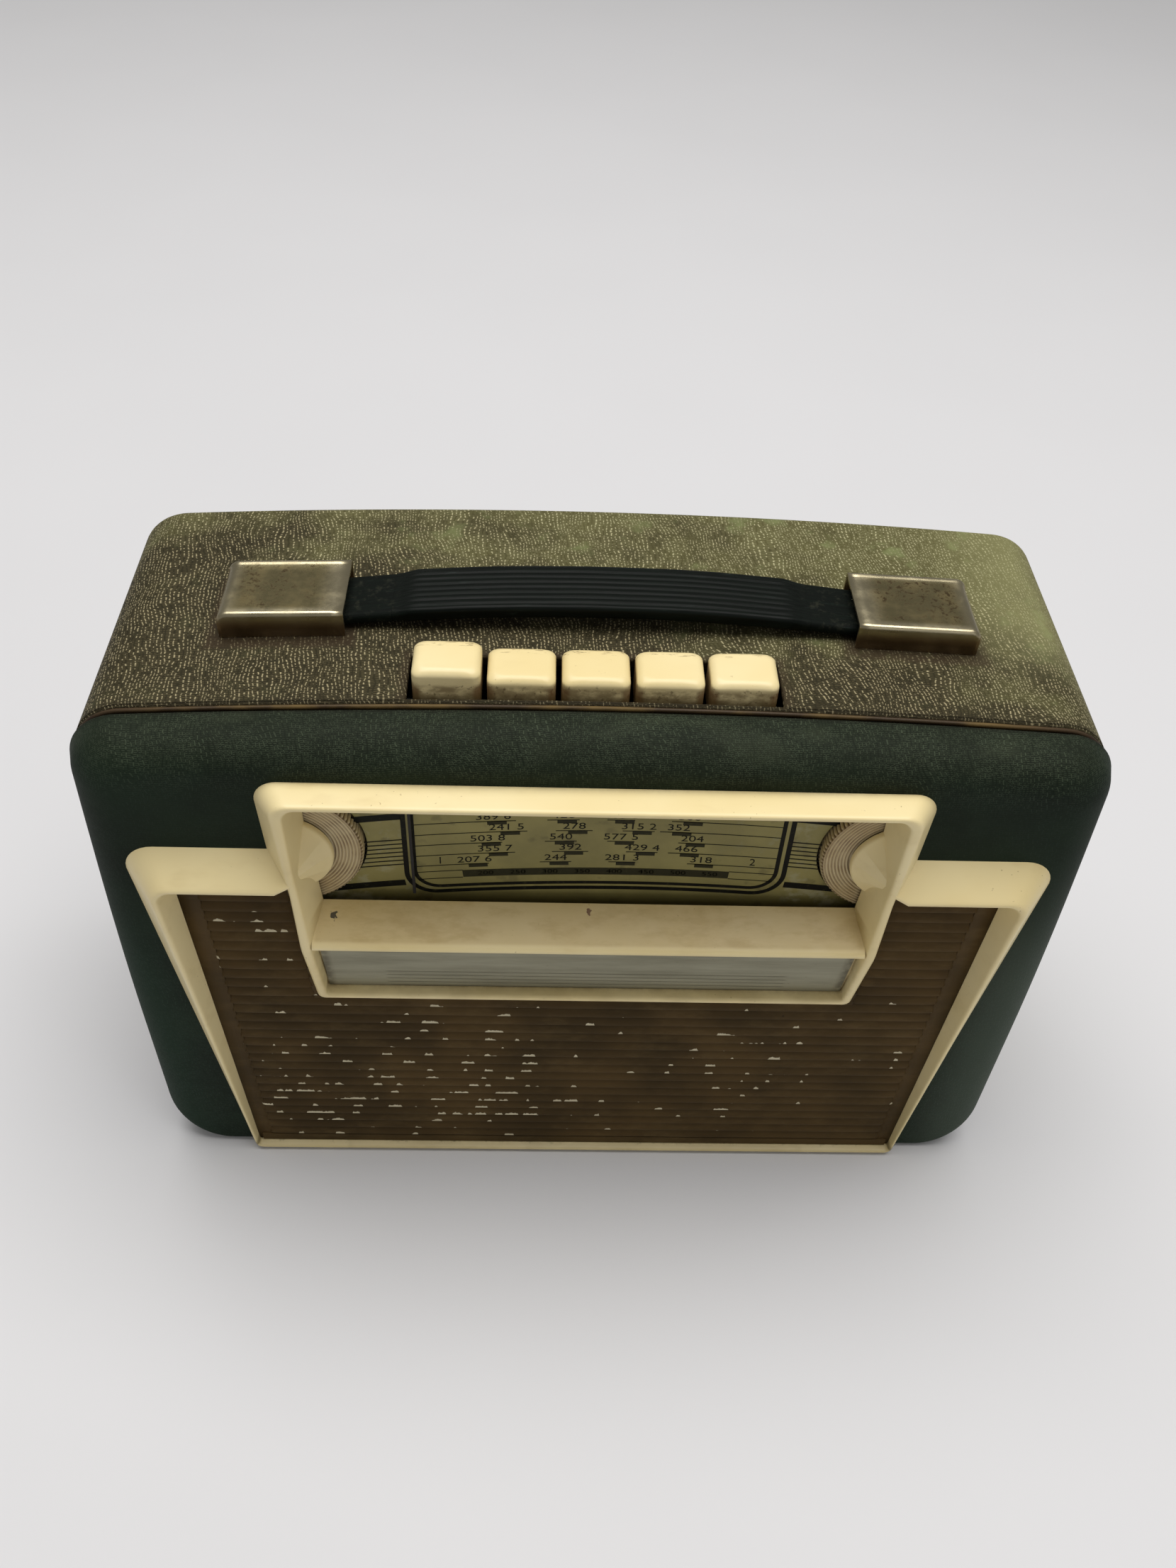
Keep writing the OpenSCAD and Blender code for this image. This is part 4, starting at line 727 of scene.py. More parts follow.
def buildDialPrint():
    d = dial
    mid, thin, edge, bandX, bandZ = d.x, d.underline, d.edge, d.bandX, d.bandZ
    dark, marks = [], []
    for out, wide, low, r in d.border:
        corner = arc(out - r, low + r, r, 0, -90, 10)
        foot = [(corner[-1][0] * (1 - k / 12), low) for k in range(1, 12)]
        half = [(out, d.top)] + corner + foot
        line = half + [(0, low)] + [(-x, z) for x, z in reversed(half)]
        dark.append(inkStrip([(mid + x, onDial(mid + x, z)) for x, z in line], wide))
    count = 0
    for k in range(d.rows):
        z = d.firstRow + d.rowPitch * k
        lean = 1.0 - 0.055 * k
        places = d.oddRow if k % 2 else d.evenRow
        dark.append(rowStrip(-edge + mid, mid + places[0][0] * lean + 4, z, thin))
        dark.append(rowStrip(mid + places[-1][0] * lean - 3, edge + mid, z, thin))
        for j, (x, wide) in enumerate(places):
            x = mid + x * lean * (1.08 if k > 3 else 1)
            count += 1
            value = 170 + 37 * count % 410
            text = f"{value}" if j % 2 else f"{value} {value % 7 + 2}"
            dark.append(number(text, x, z + 0.75, d.numberTall, 1.25))
            dark.append(rowStrip(x - wide / 1.6, x + wide / 1.6, z, thin))
            ends = x + 1 - d.markWide / 2, x + 1 + d.markWide / 2
            marks.append(rowStrip(*ends, z - 0.75, d.markTall))
    marks.append(rowStrip(mid - bandX, mid + bandX, bandZ + d.sag * 0.4, d.bandTall))
    for sign in (-1, 1):
        for dz in (-0.5, 2.5):
            dark.append(rowStrip(mid + sign * edge, mid + sign * bandX, bandZ + dz, thin))
        dark.append(number("1" if sign < 0 else "2", mid + sign * 43.5, bandZ + 5.7, 2.9, 0.9))
        for k in range(d.outerLines):
            z = d.outerLow + d.outerPitch * k
            dark.append(rowStrip(mid + sign * d.outerX, mid + sign * 76, z, d.outerWide))
        for z in d.outerBands:
            dark.append(rowStrip(mid + sign * d.outerX, mid + sign * 78, z, 2.4))
    for k in range(8):
        dark.append(number(str(200 + 50 * k), mid - 31 + 9 * k, bandZ + 0.3, 1.7, 1.3))
    return addMesh("dialPrint", *join(dark), 30), addMesh("dialMarks", *join(marks), 30)


# shader maths: a Wire is one output of a node, and it adds and multiplies like a number
def maths(operation):
    return lambda wire, *others: wire.finish.node(
        "ShaderNodeMath", {"operation": operation}, dict(enumerate((wire, *others))))


class Wire:
    def __init__(self, finish, socket):
        self.finish, self.socket = finish, socket

    __add__ = __radd__ = maths("ADD")
    __mul__ = __rmul__ = maths("MULTIPLY")
    __sub__, __truediv__, __pow__ = maths("SUBTRACT"), maths("DIVIDE"), maths("POWER")
    least, most, size = maths("MINIMUM"), maths("MAXIMUM"), maths("ABSOLUTE")
    whole, sine, cosine = maths("FLOOR"), maths("SINE"), maths("COSINE")

    def __rsub__(self, other):
        return self.finish.node("ShaderNodeMath", {"operation": "SUBTRACT"}, {0: other, 1: self})

    def ripple(self):  # 1 at whole numbers, 0 half way between
        return (self * (2 * pi)).cosine() * 0.5 + 0.5

    def step(self, low, high):  # eases from 0 at low to 1 at high
        return self.finish.node("ShaderNodeMapRange", {"interpolation_type": "SMOOTHSTEP"},
                                {"Value": self, "From Min": low, "From Max": high})


def tint(code):  # screen colour, as six hex digits, in linear light
    parts = [int(code[i:i + 2], 16) / 255 for i in (0, 2, 4)]
    return tuple(c / 12.92 if c <= 0.04045 else ((c + 0.055) / 1.055) ** 2.4 for c in parts) + (1,)


class Finish:
    def __init__(self, name, roughness=0.5, metallic=0.0, shine=0.5):
        self.material = bpy.data.materials.new(name)
        self.material.use_nodes = True
        self.tree = self.material.node_tree
        self.sockets = self.tree.nodes["Principled BSDF"].inputs
        self.sockets["Roughness"].default_value = roughness
        self.sockets["Metallic"].default_value = metallic
        self.sockets["Specular IOR Level"].default_value = shine
        coords = self.node("ShaderNodeTexCoord", {}, {}, "Object")
        self.place = self.node("ShaderNodeVectorMath", {"operation": "SCALE"}, {0: coords, "Scale": 1 / mm})
        self.x, self.y, self.z = self.split(self.place)

    def node(self, kind, settings, inputs, out=0):
        made = self.tree.nodes.new(kind)
        for name, value in settings.items():
            setattr(made, name, value)
        for name, value in inputs.items():
            self.plug(made.inputs[name], value)
        return Wire(self, made.outputs[out])

    def plug(self, socket, value):
        if isinstance(value, Wire):
            self.tree.links.new(value.socket, socket)
        else:
            socket.default_value = tint(value) if isinstance(value, str) else value

    def split(self, vector):
        made = self.node("ShaderNodeSeparateXYZ", {}, {0: vector}).socket.node
        return [Wire(self, socket) for socket in made.outputs]

    def vector(self, x, y, z=0.0):
        return self.node("ShaderNodeCombineXYZ", {}, {0: x, 1: y, 2: z})

    def noise(self, size, detail=2.0, rough=0.5, at=None, stretch=None):
        if stretch:
            at = self.vector(*[axis / by for axis, by in zip((self.x, self.y, self.z), stretch)])
        return self.node("ShaderNodeTexNoise", {}, {"Vector": at or self.place, "Scale": 1 / size,
                                                    "Detail": detail, "Roughness": rough})

    def specks(self, size, radius):  # 1 inside small round spots, spread unevenly
        near, pick = [self.node("ShaderNodeTexVoronoi", {}, {"Vector": self.place, "Scale": 1 / size}, out)
                      for out in ("Distance", "Color")]
        return (near * size).step(radius, radius * 0.6) * self.split(pick)[0].step(0.55, 0.7)

    def oval(self, x, z, wide, tall):  # 0 in the middle, 1 on the ellipse
        return (((self.x - x) / wide) ** 2 + ((self.z - z) / tall) ** 2) ** 0.5

    def mix(self, share, a, b):
        return self.node("ShaderNodeMix", {"data_type": "RGBA"}, {0: share, 6: a, 7: b}, 2)

    def cornerGrimeAndShade(self, reach, low=0.3, high=1.0):  # painted shade and grime: 1 in occluded corners and creases, 0 in the open
        clear = self.node("ShaderNodeAmbientOcclusion", {"samples": 6}, {"Distance": reach * mm}, "AO")
        return (1 - clear).step(low, high)

    def base(self, share, a, b):  # the two colours under all the others
        self.shade = self.mix(share, a, b)
        self.plug(self.sockets["Base Color"], self.shade)

    def over(self, share, top):
        self.base(share, self.shade, top)

    def dull(self, value):
        self.plug(self.sockets["Roughness"], value)

    def relief(self, height, depth):  # depth in millimetres; the last line of each finish
        bump = self.node("ShaderNodeBump", {}, {"Strength": 1.0, "Distance": depth * mm, "Height": height})
        self.plug(self.sockets["Normal"], bump)
        return self.material


# leathercloth grain along the mesh's own (u, v): slanting columns of short dashes, fine rungs between them
leather = Settings(column=1.02, slant=0.12, dash=1.5, rung=0.68, sway=8, depth=0.13)


def leatherGrain(f, stretch=1.0):
    g = leather
    u, v = f.split(f.node("ShaderNodeAttribute", {"attribute_name": "grain"}, {}, "Vector"))[:2]
    sway = f.noise(20, 1, at=f.vector(u, v * 0.8)) - 0.5
    jog = f.noise(2.4, 1, at=f.vector(u, v * 0.8, 5)) - 0.5
    phase = (u + v * g.slant + sway * g.sway + jog * 1.1) / g.column
    line = (phase + 0.5).whole()
    column = phase.ripple()
    start = (line * 12.99).sine() * 5.3
    uneven = (f.noise(1.9, 1, at=f.vector(line * 7.7, v, 2)) - 0.5) * 2.2
    length = ((v + start + uneven) / (g.dash * stretch)).ripple().step(0.14, 0.34)
    whole = f.noise(2.6, 1, at=f.vector(line * 3.1, v, 7)).step(0.38, 0.5)
    ladder = (v + (f.noise(2.4, 0, at=f.vector(u, v, 9)) - 0.5) * 0.8) / g.rung
    patch = f.noise(5, 1, at=f.vector(u, v, 13)).step(0.32, 0.58)
    return column ** 5 * length * whole, ladder.ripple() ** 1.6 * (1 - column ** 2) * (patch * 0.55 + 0.45)


def oliveLeather():
    f = Finish("oliveLeather", 0.62, shine=0.15)
    dash, rung = leatherGrain(f)
    rear = (f.x / 420 + f.y / 95 + f.noise(34, 4, 0.6, stretch=(1, 0.8, 1)) * 1.9 - 0.82).step(0.05, 0.8)
    bloom = f.noise(15, 3, 0.65).step(0.56, 0.72) * (rear * 0.8 + 0.1)
    fade = 1 - bloom * 0.75
    f.base(rear, "292515", "524e2f")
    f.over(bloom * 0.6, "848e5d")
    f.over(rung * 0.7 * fade, f.mix(rear, "5c5339", "8a8760"))
    worn = f.noise(3, 2).step(0.2, 0.5) * 0.4 + 0.6
    f.over(dash * worn * fade, f.mix(rear, "aea27e", "b6b28a"))
    reachX = ((f.x - handleX).size() - (handle.capIn + handle.capL / 2)).size() - handle.capL / 2
    reachY = (f.y - handleY + 1.5).size() - handle.capW / 2
    top = f.z.step(180, 184)
    slot = ((f.x + 1).size() - 49.6).most((f.y - keyY).size() - 8).step(3.4, 0.6)
    stain = (reachX.most(reachY).step(4.4, 1.6) * top).most(slot * top * 0.75)
    stain = stain * f.noise(3.5, 3).step(0.22, 0.5)
    f.over(stain * 0.75, "362a1c")
    # painted shade: darker along the front edge, where it turns down into the seam groove
    front = f.y.step(bodyY + 3.2, bodyY + 0.4)
    f.over(front * 0.45, "2b2517")
    # painted highlight: the right end of the top is lighter
    f.over(f.x.step(92, 132) * f.y.step(-22, 14) * 0.4, "9b9a6c")
    # painted light: the right side face gets lighter grain colours, the left side none
    side = (f.x.size() / 138).step(0.93, 0.99) * f.x.step(-60, 138)
    f.over(side * 0.6 * (1 - front), f.mix(dash.most(rung * 0.6), "5a5434", "aca87c"))
    # painted shade and grime darken the creases and corners
    f.over(f.cornerGrimeAndShade(5, 0.25, 0.9) * 0.55, "1f1710")
    f.dull(0.72 - dash * 0.2 + rear * 0.08)
    return f.relief(dash.most(rung * 0.55) * (1 - stain * 0.7), leather.depth)


def greenLeather():
    f = Finish("greenLeather", 0.6, shine=0.12)
    dash, rung = leatherGrain(f, 1.6)
    grain = (dash * 0.8).most(rung * 0.6)
    cloud = f.noise(30, 3, 0.55)
    crown = f.z.step(166, 187)
    strength = (crown + f.z.step(150, 60) * 0.45 + 0.14).least(1.0)
    strength = strength * (0.55 + f.noise(11, 2).step(0.3, 0.65) * 0.45)
    f.base(cloud.step(0.3, 0.7), "101a10", "1a271b")
    f.over(f.z.step(176, 189) * 0.9, "181d13")
    f.over(f.noise(17, 2, stretch=(1.6, 1, 1)).step(0.58, 0.75) * crown * 0.25, "3d4331")
    f.over(f.z.step(150, 90) * (f.x.size() / 138).step(0.84, 0.96) * 0.5, "1f3427")
    f.over(grain * strength * 0.85, f.mix(crown, "2a3d30", "4b5542"))
    # painted shade: darker on the lip where it turns down into the seam groove
    f.over(f.y.step(seamY - 2.2, seamY - 0.5) * 0.5, "14140d")
    # painted reflection: lighter on the lower right side
    f.over(f.x.step(108, 134) * f.z.step(160, 90) * 0.4, "5f675c")
    f.over(f.specks(26, 0.5) * 0.6, "8a9080")
    # painted shade and grime darken the corners and the edges of the opening
    f.over(f.cornerGrimeAndShade(6, 0.3, 0.9) * 0.6, "0c110b")
    f.dull(0.66 - grain * 0.12 + cloud * 0.1)
    return f.relief(grain * strength, leather.depth * 0.8)


def bronze():
    f = Finish("bronze", 0.5, 0.3, 0.3)
    worn = f.noise(7, 3, stretch=(2.5, 1, 1)).step(0.42, 0.62)
    f.base(worn, "382b1a", "66532f")
    f.over((f.x.size() / 138).step(0.72, 0.9) * 0.8, "32241a")
    f.dull(0.46 + worn * 0.2)
    return f.relief(f.noise(0.9, 2), 0.05)


def creamPlastic(name, soil):
    f = Finish(name, 0.34, shine=0.45)
    f.base(f.noise(42, 3).step(0.3, 0.7), "eddcaa", "e7d39b")
    f.over(f.noise(9, 3, 0.65, stretch=(2.2, 1, 1)).step(0.52, 0.8) * 0.28 * soil, "cbb27a")
    # grime and painted shade gather in the corners
    f.over(f.cornerGrimeAndShade(7, 0.3, 0.95) * f.noise(4, 4, 0.7).step(0.3, 0.62) * 0.75 * soil, "83663a")
    f.over(f.specks(23, 0.42) * 0.85, "4a3420")
    f.over(f.noise(0.9, 1).step(0.73, 0.79) * f.noise(19, 1).step(0.5, 0.65) * 0.55 * soil, "8d7444")
    return f


def creamMouldingFinish():
    f = creamPlastic("creamPlastic", 1.0)
    lean = mould.leanZ
    f.over(f.z.step(70, 20) * 0.35, "d9c894")
    lipTop = f.z.step(lean + 0.4, lean - 1.2) * f.x.size().step(79.5, 77.5)
    f.over(lipTop * f.noise(6, 3, stretch=(2, 1, 1)).step(0.3, 0.7) * 0.25, "8f7a4c")
    # painted shade on the ledge under the top bar, with smudges of grime
    ledge = f.z.step(lean + 1.6, lean + 3) * f.z.step(lean + 10, lean + 8.5)
    ledge = ledge * f.x.size().step(78.5, 76.5) * f.y.step(edgeY + 0.8, edgeY + 2.2)
    smudge = f.noise(5, 4, 0.65, stretch=(2.4, 1, 1)).step(0.42, 0.7)
    f.over(ledge * (0.4 + smudge * 0.2), "a5863f")
    foot = f.z.step(7, 4) * f.y.step(edgeY + 2, edgeY + 5)
    f.over(foot * 0.3, "8d7d54")
    f.over(foot * (f.z + f.noise(2.2, 3, 0.65) * 1.6).step(4.0, 4.5) * 0.6, "4f4226")
    for x, z, wide, tall, hue in ((-72.4, 124.2, 1.5, 0.75, "0c0a07"), (-0.5, 125.2, 0.9, 0.8, "6a3d1c")):
        far = f.oval(x, z, wide, tall) + (f.noise(1.1, 2) - 0.5) * 2.4
        f.over(far.step(0.75, 0.5) * f.y.step(innerFaceY + 2, innerFaceY - 1) * 0.9, hue)
    f.dull(0.3 + f.noise(6, 3) * 0.16)
    return f.relief(f.noise(14, 2) + f.noise(0.8, 2) * 0.05, 0.12)


def keyFinish():
    f = creamPlastic("keyPlastic", 0.5)
    front = f.y.step(keyY - 4, keyY - 6)
    smear = f.noise(2.6, 4, 0.65, stretch=(1.8, 1, 1))
    f.over(f.z.step(192.2, 190.4) * front * smear.step(0.3, 0.62) * 0.75, "7b6746")
    f.over(f.noise(1.5, 3, 0.7).step(0.58, 0.66) * f.z.step(193, 191) * front * 0.6, "5b4a33")
    chips = f.noise(1, 4, 0.65, stretch=(3.6, 0.7, 1)).step(0.56, 0.64)
    f.over(chips * f.y.step(keyY + 3.2, keyY + 4.6) * 0.7, "6c5738")
    # painted shade, brownish, on the key sides in the gaps between keys
    gapShade = ((f.x - key.x) / key.pitch + 0.5).ripple()
    f.over(f.z.step(192.6, 189.5) * gapShade.step(0.72, 0.9) * 0.75, "6b4a2a")
    # painted shade: darker low down, inside the key slot
    f.over(f.z.step(190, 186) * 0.5, "8d7446")
    f.dull(0.24 + smear * 0.16)
    return f.relief(f.noise(5, 2), 0.1)


# chipped areas of the louvres: middle x and z, half width, half height, and how much weaker than the first
chipZones = ((-74, 38, 36, 30, 0), (-30, 42, 16, 21, -0.5), (56, 47, 28, 18, 0.4), (-97, 121, 9, 5, 0))


def louvrePaint():
    f = Finish("louvrePaint", 0.6, shine=0.12)
    g = grille
    front = f.y.step(faceY + g.front + 1.6, faceY + g.front + 0.6)
    height = f.z - g.low - g.strip + 0.2
    slat = (height / g.pitch).whole()
    up = height - slat * g.pitch
    f.base(f.noise(28, 3).step(0.3, 0.7), "33260f", "4b391c")
    # painted highlight along the slats' front edges, with rubbed paint in patches
    rub = f.noise(9, 4, 0.7, stretch=(2, 1, 0.8)).step(0.45, 0.75)
    f.over(front * (0.12 + rub * 0.28), "6a5737")
    run = f.noise(1, 2, at=f.vector(f.x / 6.5, slat * 9.1, 3))
    ragged = f.noise(1, 3, 0.65, at=f.vector(f.x / 1.3, slat * 5.3, 8))
    zone = 9.0
    for x, z, wide, tall, weaker in chipZones:
        zone = (f.oval(x, z, wide, tall) + weaker).least(zone)
    reach = ((run - 0.535 - zone.most(0.1) * 0.045) * 36).least(0.35 + ragged * 2.0)
    inside = (f.x.size() - f.z * g.lean).step(104.4, 103.8) * f.z.step(g.low + 3.6, g.low + 4)
    chip = (reach - up).step(0.0, 0.16) * front * inside
    f.over(chip, f.mix(f.noise(2, 2), "b3a98a", "d2c9ae"))
    f.over(f.specks(9, 0.5) * 0.5, "241a10")
    # painted shade and grime between the slats and at the rim
    f.over(f.cornerGrimeAndShade(3) * 0.6, "0f0b07")
    f.dull(0.62 - chip * 0.2)
    return f.relief(f.noise(2.5, 3) * 0.5 - chip * 0.8, 0.12)


def agedNickel():
    f = Finish("agedNickel", 0.34, 1.0)
    inX = (f.x - handleX).size() - handle.capIn
    inY = handle.capW / 2 - (f.y - handleY).size()
    middle = inX.step(2, 9) * (handle.capL - inX).step(1, 7) * inY.step(1.2, 3.5)
    pits = f.noise(1.5, 5, 0.72).step(0.46, 0.6) * f.noise(10, 2).step(0.26, 0.5) * middle
    stain = f.noise(8, 4, 0.6).step(0.4, 0.72)
    low = f.z.step(194.2, 190.4)
    # painted highlight: lighter metal along the cap's edges, with rubbed plating, darker in the middle
    f.base(middle * 0.85, "b3a98c", "847a55")
    f.over(stain * middle * 0.5, "6b5c3d")
    f.over(pits * 0.85, "33261a")
    # painted reflection of the brown case top on the lower front wall
    f.over(low * 0.6, "7c552b")
    f.dull(0.27 + stain * 0.18 + pits * 0.3 + low * 0.15)
    return f.relief(f.noise(1.7, 5, 0.72) * -0.6 + f.noise(6, 2), 0.05)


def strapVinyl():
    f = Finish("strapVinyl", 0.4, shine=0.1)
    along = f.noise(1, 3, 0.6, stretch=(26, 0.55, 3))
    neck = (f.x - handleX).size().step(54.5, 58)
    f.base(along.step(0.4, 0.7), "050906", "0a110c")
    # lighter streaks along the strap: painted sheen, with wear
    f.over(f.noise(1, 4, 0.7, stretch=(11, 0.9, 3)).step(0.6, 0.78) * 0.4, "333f3a")
    f.over(f.noise(2.5, 4, 0.7).step(0.5, 0.75) * neck * 0.45, "36372c")
    f.dull((0.24 + along * 0.4 + neck * 0.25).least(0.85))
    return f.relief(along + f.noise(2, 3) * 0.3, 0.1)


def wheelPlastic():
    f = Finish("wheelPlastic", 0.45, shine=0.4)
    out, hub = wheel.r, wheel.hub
    across = f.x.size() - wheel.x
    r = (across * across + (f.z - wheel.z) ** 2) ** 0.5
    f.base(f.noise(16, 3).step(0.3, 0.7), "cfbf98", "bfab80")
    face = r.step(hub, hub + 0.6) * r.step(out - 0.3, out - 0.9) * f.y.step(wheelY + 1.2, wheelY + 0.6)
    # grime and painted shade in the turned grooves
    groove = (1 - ((r - hub - 0.35) / wheel.ringPitch).ripple()) * face
    f.over(groove * (0.5 + f.noise(5, 3).step(0.35, 0.7) * 0.4), "6f5433")
    soil = f.noise(9, 4, 0.65).step(0.45, 0.75)
    f.over(soil * 0.35, "a48c62")
    f.over(r.step(out - 0.15, out - 0.6) * r.step(out - 1.0, out - 0.75) * 0.75, "6b5231")
    # painted shade and grime round the hub and the rim
    f.over(f.cornerGrimeAndShade(4, 0.35, 0.95) * 0.5, "5d4527")
    f.dull(0.42 + soil * 0.15)
    return f.relief(f.noise(1.4, 3), 0.04)


def dialPaper():
    f = Finish("dialPaper", 0.5, shine=0.35)
    wide = f.x.size()
    f.base(f.noise(24, 4, 0.6).step(0.3, 0.7), "8e854d", "7a7241")
    f.over(f.noise(6, 4, 0.65).step(0.56, 0.68) * wide.step(30, 56) * 0.5, "8e8c68")
    f.over(f.noise(7, 3, at=f.vector(f.x, f.z, 31)).step(0.6, 0.7) * 0.4, "4f4628")
    # painted shade: darker strip along the bottom, above the ledge
    f.over(f.z.step(131, 125) * 0.4, "4a4228")
    f.over(f.noise(5, 4, 0.6, at=f.vector(f.x, f.z, 47)).step(0.5, 0.68) * wide.step(52, 57) * 0.45, "a3a083")
    # painted shade and grime under the surround's lip
    f.over(f.cornerGrimeAndShade(12, 0.35) * 0.15, "1c180c")
    return f.relief(f.noise(0.5, 2), 0.02)


def ink(name, code):
    f = Finish(name, 0.5, shine=0.1)
    worn = f.noise(1.4, 3, 0.65).step(0.55, 0.72)
    f.base(worn * 0.3, code, "4d4a30")
    f.dull(0.55 + worn * 0.2)
    return f.material


def bareMetalPlate():
    f = Finish("bareMetalPlate", 0.45, 0.5)
    wide = f.x.size()
    lines = (f.z / 2.3).ripple() ** 10 * f.z.step(103.6, 102.8) * f.z.step(91.5, 92.5) * wide.step(60, 58)
    tarnish = f.noise(9, 5, 0.7, stretch=(5, 1, 0.6))
    f.base(tarnish.step(0.3, 0.75), "98957f", "827f6a")
    f.over(lines * 0.75, "48442f")
    rim = wide.step(73.6, 76).most(f.z.step(92.6, 91.2))
    f.over(rim * f.noise(2.5, 3).step(0.2, 0.6) * 0.65, "463d28")
    # painted shadow: darker along the top, under the ledge's lip
    f.over(f.z.step(113, 115) * 0.6, "3a3524")
    f.over(f.noise(2.2, 4, 0.7).step(0.66, 0.74) * 0.5, "6a5a3d")
    # painted shade and grime in the plate's recess
    f.over(f.cornerGrimeAndShade(3, 0.3, 0.9) * 0.6, "2c2618")
    f.dull(0.36 + tarnish * 0.25)
    return f.relief(lines * -1.0 + tarnish * 0.2, 0.06)


# parts inside: base, mark, roughness, metal, size of the mottling, its stretch along x, depth of relief
def family(slot, base, mark, rough, metal=0.0, size=6, stretch=1.0, depth=0.04):
    f = Finish(slot[0] + slot.title().replace("_", "")[1:], rough, metal)
    mottle = f.noise(size, 4, 0.6, stretch=(stretch, 1, 1))
    fine = f.noise(size / 7, 2)
    f.base(mottle.step(0.35, 0.7), base, mark)
    f.over(fine.step(0.5, 0.75) * 0.25, mark)
    # painted shade and grime in the corners
    f.over(f.cornerGrimeAndShade(6) * 0.35, "1d1710")
    f.dull((rough + (mottle - 0.5) * 0.3).least(1.0).most(0.12))
    return f.relief(mottle * 0.6 + fine * 0.4, depth)


# floor
stage = Settings(floor=("dddde0", "d9d9dc"), world=(1.0, 0.985, 0.945), worldStrength=0.24)
floorMesh = bpy.data.meshes.new("floor")
floorMesh.from_pydata([(-4, -3, 0), (4, -3, 0), (4, 5, 0), (-4, 5, 0)], [], [(0, 1, 2, 3)])
floor = addObject("floor", floorMesh)
floorFinish = Finish("palePaper", 0.85, shine=0.2)
floorFinish.base(floorFinish.noise(160, 2), *stage.floor)
floor.data.materials.append(floorFinish.material)

wheelBeige, keyCream, nickel, vinyl = wheelPlastic(), keyFinish(), agedNickel(), strapVinyl()
drawn = [  # piece, its body, the node it replaces, its slot in the record and its finish
    (buildCase(), "case", "case_body", "olive_leathercloth", oliveLeather()),
    (buildShell(), "case", "front_shell", "green_leathercloth", greenLeather()),
    (buildBead(), "case", "seam_bead", "bronze_bead", bronze()),
    (buildMoulding(), "case", "front_moulding", "cream_moulding", creamMouldingFinish()),
    (buildLouvres(), "case", "speaker_grille", "brown_paint", louvrePaint()),
    (buildWheel("volumeWheel", -1), "volume_wheel", "volume_knob", "beige_wheels", wheelBeige),
    (buildWheel("tuningWheel", 1), "tuning_wheel", "tuning_knob", "beige_wheels", wheelBeige)]
drawn += [(buildKey(i), f"key_{i}", f"button_{i}", "cream_moulding", keyCream) for i in range(1, 6)]
drawn += [(buildGrip(), "handle", "handle_strap", "dark_strap", vinyl),
          (buildNeck("neckLeft", -1), None, "handle_neck_left", "dark_strap", vinyl),
          (buildNeck("neckRight", 1), None, "handle_neck_right", "dark_strap", vinyl),
          (buildCap("capLeft", -1), "case", "handle_cap_left", "aged_nickel", nickel),
          (buildCap("capRight", 1), "case", "handle_cap_right", "aged_nickel", nickel)]
drawn += [(piece, "case", None, "printed_dial", ink(name, code)) for piece, name, code in zip(
    buildDialPrint(), ("dialInk", "markInk"), ("12110a", "2c2a18"))]
print("stage: pieces built")

for piece, rider, node, slot, finish in drawn:
    piece.data.materials.append(finish)
    if rider:
        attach(piece, rider)
    else:
        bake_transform(piece)
    if node:
        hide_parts(node)

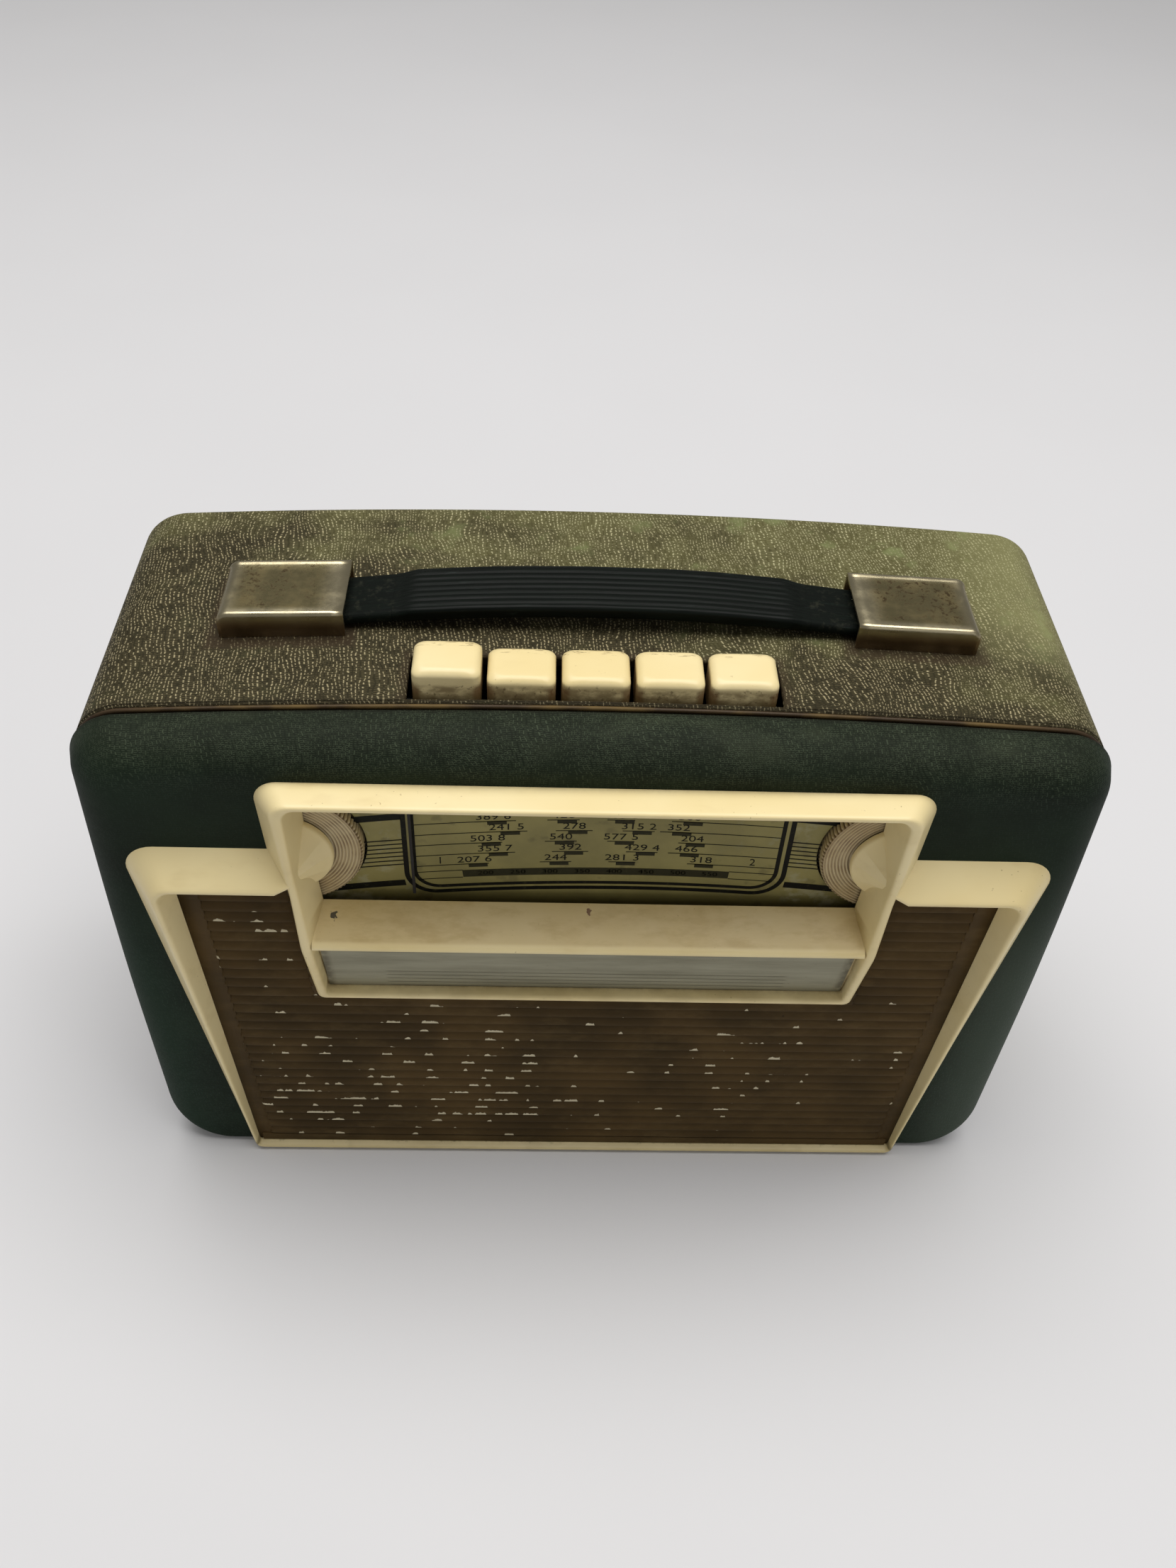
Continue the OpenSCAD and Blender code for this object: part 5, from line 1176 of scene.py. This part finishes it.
# finishes of the CAD nodes, by the slot that the record gives each
slotFinish = {"plate_metal": bareMetalPlate(), "printed_dial": dialPaper()}
for look in (
    ("brown_fibreboard", "5c4a2e", "4c3b24", 0.8, 0, 1.8, 1.6, 0.1),
    ("steel_screws", "a8a290", "7a715c", 0.38, 1, 3),
    ("pine_blocks", "b48a54", "8a6236", 0.7, 0, 7, 5, 0.08),
    ("dark_cloth", "241c12", "140f09", 0.9, 0, 1.6, 1, 0.2),
    ("plywood", "8a6540", "6b4a2b", 0.72, 0, 9, 6, 0.06),
    ("dark_pointer", "0d0b09", "1a1510", 0.75, 0, 4),
    ("bright_steel", "b6b4aa", "8d887a", 0.3, 1, 5),
    ("drive_cord", "b9a878", "8b7a50", 0.85, 0, 0.8, 1, 0.15),
    ("beige_wheels", "cdbb95", "a48c62", 0.5),
    ("plated_metal", "b9b8ab", "8c8a7c", 0.34, 1, 8),
    ("brass_parts", "b08d4c", "7a5d30", 0.4, 1, 5),
    ("pot_metal", "77766f", "55524a", 0.5, 0.8, 5),
    ("chassis_metal", "7d8078", "5f6058", 0.45, 0.6, 16),
    ("black_paper", "1d1a15", "2c261e", 0.95, 0, 3, 1, 0.2),
    ("brown_laminate", "7a4d27", "5c3a1e", 0.5, 0, 10, 2),
    ("black_cans", "1b1b1c", "2b2a28", 0.35, 0, 5),
    ("capacitor_cans", "6f7d86", "56626a", 0.4, 0.3),
    ("waxed_windings", "9a6630", "6b4522", 0.55, 0.35, 1.4, 1, 0.15),
    ("ferrite", "26231f", "3a352e", 0.6, 0, 4),
    ("cream_clips", "d8cba2", "b8a678", 0.45, 0, 7),
    ("battery_jackets", "5a614c", "474c3a", 0.7, 0, 9),
    ("lead_sleeves", "6d2a20", "522018", 0.5, 0, 5)):
    slotFinish[look[0]] = family(*look)
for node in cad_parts.values():
    slot = node.material_slots[0].material.name.split(".")[0]
    if slot in slotFinish:
        node.material_slots[0].material = slotFinish[slot]
print("stage: finishes given")


def addLamp(name, energy, size, place, colour):  # area lamp aimed at the radio's middle
    data = bpy.data.lights.new(name, "AREA")
    data.energy = energy
    data.color = colour
    data.shape = "RECTANGLE"
    data.size, data.size_y = size
    turn = (Vector((0, 0, 0.08)) - Vector(place)).to_track_quat("-Z", "Y").to_matrix().to_4x4()
    addObject(name, data).matrix_world = Matrix.Translation(place) @ turn


addLamp("softLamp", 38, (2.0, 1.3), (0.06, 0.16, 1.9), (1.0, 0.985, 0.96))
addLamp("fillLamp", 1.9, (1.4, 1.0), (0.5, -1.3, 0.75), (1.0, 0.99, 0.98))
world = bpy.data.worlds.new("world")
scene.world = world
world.use_nodes = True
world.node_tree.nodes["Background"].inputs[0].default_value = (*stage.world, 1)
world.node_tree.nodes["Background"].inputs[1].default_value = stage.worldStrength
scene.view_settings.view_transform = "Standard"
